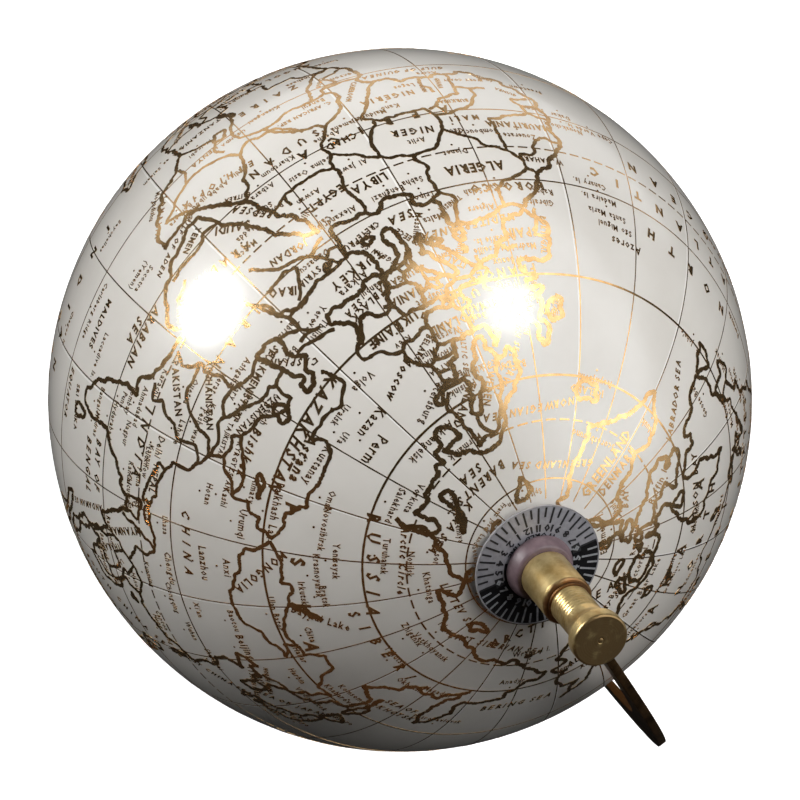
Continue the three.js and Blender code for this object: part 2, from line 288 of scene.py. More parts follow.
PAPER = paper_material()
FOIL = foil_material()
SEAM = seam_material()
BRASS = brass_material("turned_brass", (0.52, 0.36, 0.13), (0.78, 0.62, 0.30), 0.36)
stained_ends(BRASS, BOSS_TOP - 1.3 * MM, BOSS_TOP + 0.1 * MM, (0.24, 0.12, 0.05))
STAND_BRASS = brass_material("stand_brass", (0.52, 0.38, 0.16), (0.72, 0.57, 0.27), 0.32, False, 900)
KNOB_BRASS = brass_material("knob_brass", (0.46, 0.31, 0.12), (0.78, 0.62, 0.30), 0.34)
stained_ends(KNOB_BRASS, KNOB_TOP - 0.9 * MM, KNOB_TOP - 0.1 * MM, (0.27, 0.18, 0.08))
GROOVE = brass_material("tarnished_brass", (0.09, 0.04, 0.016), (0.24, 0.12, 0.045), 0.46)
ARC_BRASS = brass_material("aged_strip_brass_with_painted_highlight", (0.05, 0.028, 0.012), (0.16, 0.09, 0.04), 0.36, False)
# Painted highlight: the arc's inner edge is coloured a lighter orange brass, for where light catches it.
painted_highlight_inside(ARC_BRASS, ARC_INNER, (0.42, 0.19, 0.045))
STEEL = plastic_material("plated_steel", (0.42, 0.43, 0.44), (0.60, 0.60, 0.61), 0.32)
STEEL.node_tree.nodes["Principled BSDF"].inputs["Metallic"].default_value = 1.0
IRON = plastic_material("cast_iron", (0.03, 0.03, 0.032), (0.07, 0.07, 0.072), 0.65, 300)
MAUVE = plastic_material("mauve_plastic", (0.125, 0.084, 0.094), (0.195, 0.135, 0.148), 0.42)
NYLON = plastic_material("natural_nylon", (0.66, 0.64, 0.58), (0.76, 0.74, 0.69), 0.45)
BOARD = plastic_material("bare_board", (0.36, 0.29, 0.20), (0.50, 0.42, 0.31), 0.85)
DIAL_GREY = plastic_material("dial_silver", (0.30, 0.30, 0.335), (0.40, 0.40, 0.44), 0.34, 900)
DIAL_GREY.node_tree.nodes["Principled BSDF"].inputs["Metallic"].default_value = 0.35
DIAL_BLACK = plastic_material("dial_black", (0.003, 0.003, 0.004), (0.008, 0.008, 0.009), 0.42, 900)
DIAL_BLACK.node_tree.nodes["Principled BSDF"].inputs["Specular IOR Level"].default_value = 0.2
DIAL_INK = plastic_material("dial_ink", (0.008, 0.008, 0.01), (0.02, 0.02, 0.022), 0.4, 900)
DIAL_PALE = plastic_material("dial_pale_ink", (0.22, 0.23, 0.25), (0.36, 0.37, 0.39), 0.4, 900)
# Painted shade: the dial's rim is coloured a darker grey than the disc, standing in for its edge in shade.
DIAL_RIM_PAINTED_SHADE = plastic_material("dial_edge_painted_shade", (0.24, 0.235, 0.24), (0.34, 0.33, 0.34), 0.45, 900)
WOOD = wood_material()
FELT = felt_material()

# ------------------------------------------------------------------ mesh helpers


def piece(name, vertices, faces, material, body, slot, smooth=32):
    """A finished piece in part coordinates that rides on a body."""
    mesh = bpy.data.meshes.new(name)
    mesh.from_pydata([tuple(v) for v in vertices], [], faces)
    mesh.validate()
    mesh.materials.append(material)
    if smooth:
        mesh.shade_smooth()
        mesh.set_sharp_from_angle(angle=math.radians(smooth))
    obj = bpy.data.objects.new(name, mesh)
    bpy.context.scene.collection.objects.link(obj)
    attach(obj, body)
    return obj


def lathe(outline, segments, matrix=Matrix.Identity(4)):
    """Turns a closed outline of (radius, height) points. Returns vertices and faces."""
    area = sum(a[0] * b[1] - b[0] * a[1] for a, b in zip(outline, outline[1:] + outline[:1]))
    points = outline if area > 0 else outline[::-1]
    vertices, rings = [], []
    for r, z in points:
        count = 1 if r < 1e-7 else segments
        start = len(vertices)
        rings.append([start + i % count for i in range(segments + 1)])
        for i in range(count):
            turn = 2 * math.pi * i / segments
            vertices.append(matrix @ Vector((r * math.cos(turn), r * math.sin(turn), z)))
    faces = []
    for low, high in zip(rings, rings[1:] + rings[:1]):
        if low[0] == low[1] and high[0] == high[1]:
            continue
        for i in range(segments):
            corners = [low[i], low[i + 1], high[i + 1], high[i]]
            faces.append([c for k, c in enumerate(corners) if c != corners[k - 1]])
    return vertices, faces


def rounded(outline, radius, steps=4):
    """Rounds a closed outline by up to a radius, but not on the axis nor where it is nearly straight."""
    result = []
    count = len(outline)
    for i, point in enumerate(outline):
        here = Vector(point)
        before, after = Vector(outline[i - 1]) - here, Vector(outline[(i + 1) % count]) - here
        cut = min(radius, before.length * 0.45, after.length * 0.45)
        if point[0] < 1e-7 or cut < 1e-6 or before.angle(after, 3) > 2.8:
            result.append(point)
            continue
        a, b = here + before.normalized() * cut, here + after.normalized() * cut
        for k in range(steps + 1):
            t = k / steps
            p = a * (1 - t) ** 2 + here * (2 * t * (1 - t)) + b * t * t
            result.append((max(p.x, 0.0), p.y))
    return result


def turned(name, outline, material, body, slot, round_by=0.2 * MM, segments=96, matrix=POLAR,
           *, node):
    """A lathe-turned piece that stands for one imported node."""
    vertices, faces = lathe(rounded(outline, round_by), segments, matrix)
    obj = piece(name, vertices, faces, material, body, slot)
    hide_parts(node)
    return obj


def flipped(outline):
    return [(r, -z) for r, z in outline]


# ------------------------------------------------------------------ the ball


def meridian(radius, hole, steps):
    """Points of a circle from the north pole's hole to the south pole's."""
    edge = math.acos(hole / radius)
    turns = [edge - 2 * edge * i / steps for i in range(steps + 1)]
    return [(radius * math.cos(t), radius * math.sin(t)) for t in turns]


def ball():
    """One smooth shell over the two half shells, open at the poles for the bushes."""
    hole, wall = 5.0 * MM, 2.4 * MM
    outside = meridian(BALL_R, hole, 128)
    inside = flipped(meridian(BALL_R - wall, hole, 48))
    vertices, faces = lathe(outside + inside, 256, POLAR)
    obj = piece("ball_shell", vertices, faces, PAPER, "globe", "printed_ball")
    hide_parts("ball_north", "ball_south")


ball()

# ------------------------------------------------------------------ the printed map
#
# Longitude, latitude in degrees, east and north positive; ';' ends an outline.

COASTS = """
-5.3,37 -3,36.4 -1.3,36.7 0.4,37.4 2.4,38.1 4.7,38.5 8.2,38.2 9.4,38.6 10.4,37.8 10.1,35.6 10.2,34.1
11.2,33.4 12.7,33.8 14.4,33.2 13.9,31.6 14.9,31 16.2,30.6 18.2,30.3 19,30.5 19.6,31.4 20.8,32.2 22.5,31.1
26,31 28.4,30.4 29.3,30.9 29.4,31.7 29.5,33.6 29.4,35.7 28.4,35.6 26.5,36.6 26.3,37.5 25.7,39 25.9,41
26.9,40.9 28.5,40.5 30.6,41.4 32.5,41.6 34.8,41.2 37.2,40.9 39.5,41 40.1,42.3 38.3,43.3 36.5,44.8 37,46
38,47.8 36.8,46.8 35.6,45.6 34.8,44.7 33.2,44.6 32.2,45.6 30,46.4 28.9,46.1 27.7,44.2 26.4,41.9 26.9,40.9;
26.4,41.9 25.2,41.3 24.6,41.4 23.9,40.9 22.9,40.4 21.6,39.8 21.5,38.5 22.2,37.4 22.7,36.5 22.2,35.4
21.1,34.9 20.2,35.3 19.9,36.3 19.8,38 19.4,39.1 19.8,40.5 20,41.8 18.5,43.3 16,44.9 13.7,45.9 12.4,45.5
13.6,44 15.8,42.3 18,40.9 16.8,40.2 16.9,38.8 16.1,37.7 15.4,39.9 12.3,42 10.4,43.8 8.2,45.4 6.1,44.8
3.7,44.7 2.9,43.6 0.9,42.2 0.1,40.9 0,39.8 -1.5,39 -2.6,38.3 -4,38.4 -5,37.4 -6.7,38.6 -8.3,39.5 -9.4,40.4
-8.6,43.6 -7.8,45.5 -4.6,45.5 -0.9,45.8 -1.2,47.3 -2.5,48 -4.7,48.3 -1.6,48.7 -1.6,49.7 1.5,50.2 3.5,51.5
4.8,53 8,53.6 8.3,56 10.6,57.6 10.3,56 11,54.2 14,54.2 18.5,54.7 20,54.5 21,56.8 24,57.2 23.5,59.2 28,59.6
30,60 25,60.2 22.5,60 21.4,61.5 22,63.2 25.3,65 22,65.8 21,64.5 17.3,61.5 18.8,60 16.5,58.3 16.3,56.7
14.3,55.5 12.9,55.5 11.3,58.5 10.6,59.3 7,58 5.2,59 5,61.5 8,63.5 12,65.5 15,68.3 19,69.9 25.5,71 31,70.3
33,69.3 40,67.5 41,66.6 36,66.8 32.5,67 34.8,64.5 38,64 40,64.6 40,66 43.8,66.2 44,68.4 47,67.5 53,68.7
59,68.7 61,69.7 66.5,68.9 68,68.6 67,70.5 67,72 69.5,73 72.6,72.8 72.2,71 73.8,68.3 71.5,66.5 74,68 74.5,72
80.5,73.6 87,75 98,76.1 104,77.6 113,75.9 106,73.3 113,73.6 118,73.2 123,73 129,71 131,71.8 140,72.4
150,71.5 160,70 170,69.8 178,69.2 185,67.3 190,66.1 187,64.4 182,64.7 178,62.6 170.3,60 163.5,59.8 162,57.8
163,56 160,53 156.7,51 155.6,54 155.8,57 159.5,60 163.5,62.5 160.3,61.8 155,59.3 149,59.5 143,59.3 138,56
135.2,54.7 141,53 140.5,48.5 136,44.5 133,42.8 130.5,42.3 127.5,39.7 129.3,37 129,35.3 126.4,34.5 126.5,37
125,38 125,39.6 121.5,39 122,40.7 119,39.2 118,38.3 122.4,37.3 119.3,35 121.8,32 121.8,30.8 121.5,28.5
119,25.3 116.5,23 113.5,22 110.3,21 109.6,21.6 108,21.6 105.8,19 107,17 109.2,13.5 109,11.5 106.7,10 105,8.7
104.9,10.2 102.5,12 101,13.4 100,13.3 99.3,10.5 100.4,7.3 103.4,4.5 104.2,1.4 103.4,1.3 101,3 100.3,6
98.3,8.3 98.6,12 97.7,15.5 97,17.2 95,15.8 94.3,17 92.3,20.8 91.5,23 89,22.6 86.3,21.4 83.2,18.7 81,17
79.8,16.2 79.8,13 79.5,10.5 78,8.6 76.5,8.6 75,10.2 73.5,12.6 72.2,15.5 71.5,19 71.8,21.3 70.5,20.5
69.8,20.5 68.2,22 66.4,23 65.3,23.8 63,24.3 60.3,24.4 58.8,24.8 57.3,25.7 56.8,27.1 54,26.6 51,28 50,30.1
48,30 48.2,28.5 50.2,26.6 51.3,25.5 51.6,24.3 54.2,24.2 56.3,26.2 56.8,24.3 59.3,21.5 57.5,19.5 55,16.6
51,14.2 47.5,13 45.7,12.2 43.8,12.2 43.1,14 42.4,15.3 42,16.6 40.9,18.2 39.9,19.4 39,20.5 38.5,21.9 38,23
37.2,23.8 36.8,25.1 36.3,25.9 34.9,27.3 33.5,28.6 32.5,29.3 31,29.9 31.3,27.9 32.4,26 33.6,23.7 34.5,22.2
35.8,19 36.7,17 37.9,15.9 39.3,14.3 41.2,12.6 42.5,11.5 43.3,10.7 45,10 47.5,10.9 50.7,11.4 50.6,8.5 48,4.5
46,2.5 44.5,0.5 41.7,-0.8 41,-2.3 39.3,-4.5 39.5,-7 40.5,-10.5 40.6,-15 37,-17.7 34.8,-20 35.5,-24 32.8,-26
32.4,-28.7 30,-31.3 27,-33.6 22,-34.2 18.4,-34.2 18.2,-31.5 16.5,-28.6 15,-26 14.4,-22.5 12,-17.5 13.7,-11
12.2,-6 9.5,-2.5 9,1 9.8,3.8 8.5,4.6 6,4.3 4.3,6.3 1.2,6 -2,4.8 -4.5,5.2 -7.6,4.4 -11.5,6.9 -13.3,9 -15,11.5
-15.8,13.5 -16.5,16 -16.5,18 -16.2,19.6 -16.4,21.8 -16.8,23.1 -16.2,24.6 -15,26 -13.5,27.3 -13,28.2
-12.2,29.5 -9.9,30.9 -9,33.2 -8.6,34.1 -5.9,35.8 -5.3,37; 47.5,43 50,44.8 51,46.7 53,46.8 53,45.2 51.2,44.5
52.5,42.5 52.8,41.2 53.5,40 53.8,37 50.5,37.3 48.9,38.5 49.8,40.5 47.5,43; 58.3,45 60,46.5 61.7,46 61,44.2
59,43.6 58.3,45; -5.7,50 -1,50.7 1.4,51.2 1.7,52.8 0,53.5 -1.5,55 -3,56 -2,57.6 -4,57.8 -3.2,58.6 -5,58.5
-6,56.5 -4.8,55 -3.2,54.8 -4.5,53.2 -4.7,51.8 -3,51.4 -5.7,50; -10,51.6 -6.4,52.2 -6,54 -7.3,55.2 -10,54.2
-9,53 -10,51.6; -24,65.5 -22,66.3 -20,65.8 -16,66.4 -13.7,65 -18.5,63.4 -22.6,63.9 -22,65 -24,65.5; 11,79
17,80 27,80 21,78.2 17,76.7 14,77.8 11,79; 52,71.2 56,70.7 57,72.5 62,75.5 69,76.8 64,76.2 58,75 54,73
52,71.2; 48,80.3 55,80 62,80.8 55,81.3 48,80.3; 95,79.2 103,79 105,78.3 99,78 95,79.2; 137,75.7 143,76
149,75.2 143,75 140,74 137,75.7; 178.5,71.2 182,71.3 178.5,70.9 178.5,71.2; 130.8,34 135,35.6 137,37
139.5,38.5 140,41 141.5,41.4 142,39.5 140.8,36 139.8,35 137,34.6 135.5,33.6 132.5,34.2 130.8,34; 140.3,42
141.8,45.4 145.3,43.3 143,42 140.3,42; 129.8,33 131.5,33.5 131.3,31.3 129.8,33; 132.5,33.5 134.4,34.2
133,32.8 132.5,33.5; 142,46 142,49 142.5,53 143.3,54.3 143.2,51 144.5,48.8 142.8,47 142,46; 120.1,23
121.5,25.2 121,22.2 120.1,23; 108.7,19 110.6,20 110,18.4 108.7,19; 79.8,8 80.2,9.7 81.8,7.3 80.5,6 79.8,8;
120,16 120.7,18.5 122.2,18.2 121.5,15 124,12.6 120.7,13.8 120,16; 122,7 123.5,8.6 125.7,9.7 126.4,7
125.5,5.7 124,6.6 122,7; 122,11.8 124.5,12.2 125,10.2 123,9.3 122,11.8; 117.2,8.4 119.5,11.2 118.5,9.3
117.2,8.4; 109,1.5 111.3,2.4 113,3.2 115.3,5.4 117,7 119,5.2 117.7,3.5 118,1 116.3,-1.5 115.8,-4 113,-3.3
110.2,-2.9 109,-0.5 109,1.5; 95.3,5.6 98,4.2 100.5,2 103.7,-1 106,-3.3 105.8,-5.8 103,-4.6 100.4,-1 98.7,1.7
95.3,5.6; 105.2,-6.8 108.5,-6.7 112.5,-6.8 114.5,-7.8 114.3,-8.6 110,-8.1 106.5,-7.4 105.2,-6.8; 119,-3.3
119.8,0 121,1.2 125,1.4 121,0.5 120.3,-0.9 123.3,-0.7 121.8,-1.9 122.7,-4.5 121,-2.8 120.4,-5.5 119,-3.3;
131,-0.8 134,-0.9 135,-3.3 138,-1.7 141,-2.6 145.8,-5 147.8,-6 147,-6.8 150.8,-10.6 147,-9.5 144,-7.7
142.5,-9.2 138,-8.3 138,-6 135,-4.4 132.8,-4 132,-2.8 134,-2.3 131,-0.8; 148.3,-5.7 152.2,-4.2 151,-6
148.3,-5.7; 123.5,-10.3 127,-8.4 125,-9.3 123.5,-10.3; 164,-20 167,-22.4 166,-22 164,-20; 113.5,-22
114.2,-26 115.8,-32 115,-34.2 118,-35 123.7,-33.9 129,-31.7 134,-32.6 137.8,-33 138,-35.6 140.5,-38
143.5,-38.8 146.5,-39 150,-37.4 151.3,-33.5 153.2,-30 153.2,-26 149.5,-22.3 146.3,-19 145.5,-15.2
142.6,-10.8 141.6,-14 140.8,-17.5 137,-15.9 135.5,-14.8 136.8,-12.2 132.5,-11.4 130,-13.4 128.5,-15
125.5,-14.2 122.2,-18 119,-20 116,-20.9 113.5,-22; 144.7,-40.8 148.2,-41 147.5,-43.4 145.8,-43 144.7,-40.8;
172.8,-34.6 175.5,-36.6 178.4,-37.7 176.8,-39.8 175,-41.5 173.8,-39.3 174.8,-37.5 172.8,-34.6; 172.8,-40.7
174.2,-41.6 171,-44.8 169,-46.6 166.6,-45.9 170.5,-43 172.8,-40.7; 49.3,-12 50.4,-15.7 47.2,-24.8 44.8,-25.3
43.4,-22.3 44.3,-16.3 47,-15.2 49.3,-12; 12.5,40 14.8,40.4 14.6,38.9 12.5,40; 8.2,40.8 9.6,41 9.6,39.2
8.5,39 8.2,40.8; 8.7,42.5 9.4,43 9.3,41.5 8.7,42.5; 23.6,35.5 26.2,35.2 24.7,34.9 23.6,35.5; 32.4,35
34.5,35.6 33.8,34.9 32.4,35; 192,65.6 198.5,66.4 193.5,68.3 198,70 203.5,71.3 212,70.4 219,69.6 225,69
232,70.4 239,69.6 245,68.3 252,68 263,68.3 265.5,71.8 270,69 274.5,69.7 278,67.5 273.5,66 267,62 265.3,58.8
267.5,57 275,55.3 277.7,53 280.5,51.3 281,54.5 283.4,57.2 281.5,60 282.5,62.4 287,62 290.5,61 290.4,58.9
294,58.8 295.4,60.3 298.3,57.5 303,54.5 304,52 300,50.2 295,50.3 290,47 295,49.2 295.5,46.3 299,45.4
294.5,43.6 293,45 289.5,43.3 290,41.7 286,40.5 284.5,37.8 284,35 281,33.5 278.7,31 279.8,26.8 279,25.2
277.3,28 275.7,30 270.5,30.2 269,29.2 265.5,29.4 262.7,27.5 262.3,22.5 264.3,18.8 268.5,18.6 269.7,21
273,21.5 271.7,18.2 271.3,15.9 276.7,15.2 276.3,11 278.5,9 280.5,9.6 282.7,8.5 284.5,10.6 285.8,11.3
288.4,12.4 288.5,10.8 290,12 292,10.6 298,10.7 300,8.4 303,6 308,4.9 310,1.2 311.5,-1.3 316,-2.6 320,-2.9
324.7,-5.2 325.1,-8.3 321.1,-13 320.8,-17.8 319,-22 314,-24 311.4,-26.2 311,-28.5 307.5,-33 304,-34.9
301.7,-34 303,-36.4 302,-38.3 297.7,-38.9 295.2,-41 296.3,-42.6 294.7,-45 292.5,-46.3 294.2,-48 291,-50.5
291.7,-52.4 294.5,-54.8 291,-55.4 286.5,-53 284.5,-50 285.5,-46 287,-42 286.6,-38 288.5,-32.5 289.7,-25
289.8,-18.5 284,-14 281,-8.5 278.8,-5.5 280,-3 279.2,-1 281.2,1.7 282.6,4 282.2,7.2 280.5,9 279.7,7.3
277.2,8.2 274.3,10 272.5,12.9 268.5,14 265.5,16.2 260.3,16.7 254.7,20 254.3,22.5 250.7,26 247.5,29.5
245.3,31.7 247.2,28.5 249.7,24.2 250,23 247.8,26 245,28.3 242.8,32.6 239.4,34.5 237.5,37.7 235.7,40.4
236,46.3 237,48.5 232.5,51 229.8,54.5 225.5,58 220.5,59.7 214,60.8 209,59.5 208.5,61 206,58.5 201.5,56
196.5,54.7 199.5,56 202.7,58.8 198,59 194.5,61.5 195.5,63.2 199,64 194,64.6 192,65.6; -64,63.2 -68,62.6
-72,64 -78,64.6 -73,67 -80,70 -88,70.5 -89.5,73.3 -81,73.6 -76,72.6 -68,70.2 -62,66.8 -64,65 -68,66.2
-64,63.2; -117,70 -114,69.3 -105,69 -102,70 -105,73 -112,73 -118,71.5 -117,70; -125,72 -123,71.2 -116,73.2
-122,74.4 -125,72; -90,76.5 -78,76.3 -75,78.5 -62,82.3 -72,83 -85,82 -95,80.5 -87,79 -90,76.5; -95,75
-80,74.7 -80,75.6 -92,76.6 -95,75; -117,75.3 -106,75 -109,76.5 -117,75.3; -102,72 -97,72 -98,74 -102,72;
-95,72.3 -90.5,72.5 -92,74 -95,72.3; -95,79 -88,78.6 -90,81 -95,79; -87,63.7 -81,63.8 -84,65.8 -87,63.7;
-59,47.8 -53,46.8 -53.7,49 -56,51.4 -59,47.8; -128,50.6 -123.5,48.5 -125.5,50.1 -128,50.6; -84.8,21.9
-82.5,23.1 -77,21.8 -74.3,20.2 -77.5,19.9 -84.8,21.9; -74.4,18.4 -72.8,19.9 -68.5,18.6 -71.4,17.7
-74.4,18.4; -92,46.8 -88.5,48.7 -84.7,47.5 -84.7,46.5 -88,47 -92,46.8; -87.7,42 -86.3,44.5 -84.7,45.8
-80.2,45.2 -82.3,43.2 -83.8,43.8 -84.5,45.5 -86.2,42.5 -87.7,42; -83,41.7 -79,42.8 -81,42.2 -83,41.7;
-79.7,43.4 -76.3,44 -79.7,43.4; -124,66.3 -119,66.8 -118,65.4 -122,65.2 -124,66.3; -116.5,61.3 -109.5,62.7
-114,62.3 -116.5,61.3; -98.5,53.5 -96.5,50.5 -98.5,53.5; -73,78.2 -68,76 -60,75.9 -55,71.7 -50.5,69.5
-53.8,67 -51,63.5 -45,60 -42.5,62 -39,65.5 -32,68 -22.5,70.3 -22,72.3 -20,75 -18.5,77.5 -22,80.5 -12,81.6
-22,82.8 -35,83.5 -50,82.6 -60,81.9 -66,80 -73,78.2; 103.8,51.5 105.5,51.7 109.9,55.7 108,53.8 103.8,51.5;
73.5,45.6 75,46.8 79,46.6 74.5,45.4 73.5,45.6; 30,60 33,61 31.5,61.7 30,60; 31.7,-2 32.2,0.3 34,0 33.5,-2.3
31.7,-2; 29.3,-4 30.5,-8 31,-8.5 29.6,-6 29.3,-4; 34,-9.5 34.8,-14 34,-11.5 34,-9.5; 302,-63.5 298,-65.5
294,-68.5 286,-73.5 275,-73.3 260,-72.5 245,-74 230,-74.5 210,-77 202,-78 180,-78.3 165,-78 167,-73
171,-71.5 150,-68.6 135,-66.3 115,-66.6 95,-66.6 82,-67.3 70,-69 60,-67.3 45,-68 33,-69 15,-70 0,-70 -12,-72
-25,-75 -35,-78 -55,-77 -62,-74 -60,-69 -56.5,-64 -58,-63.5
"""

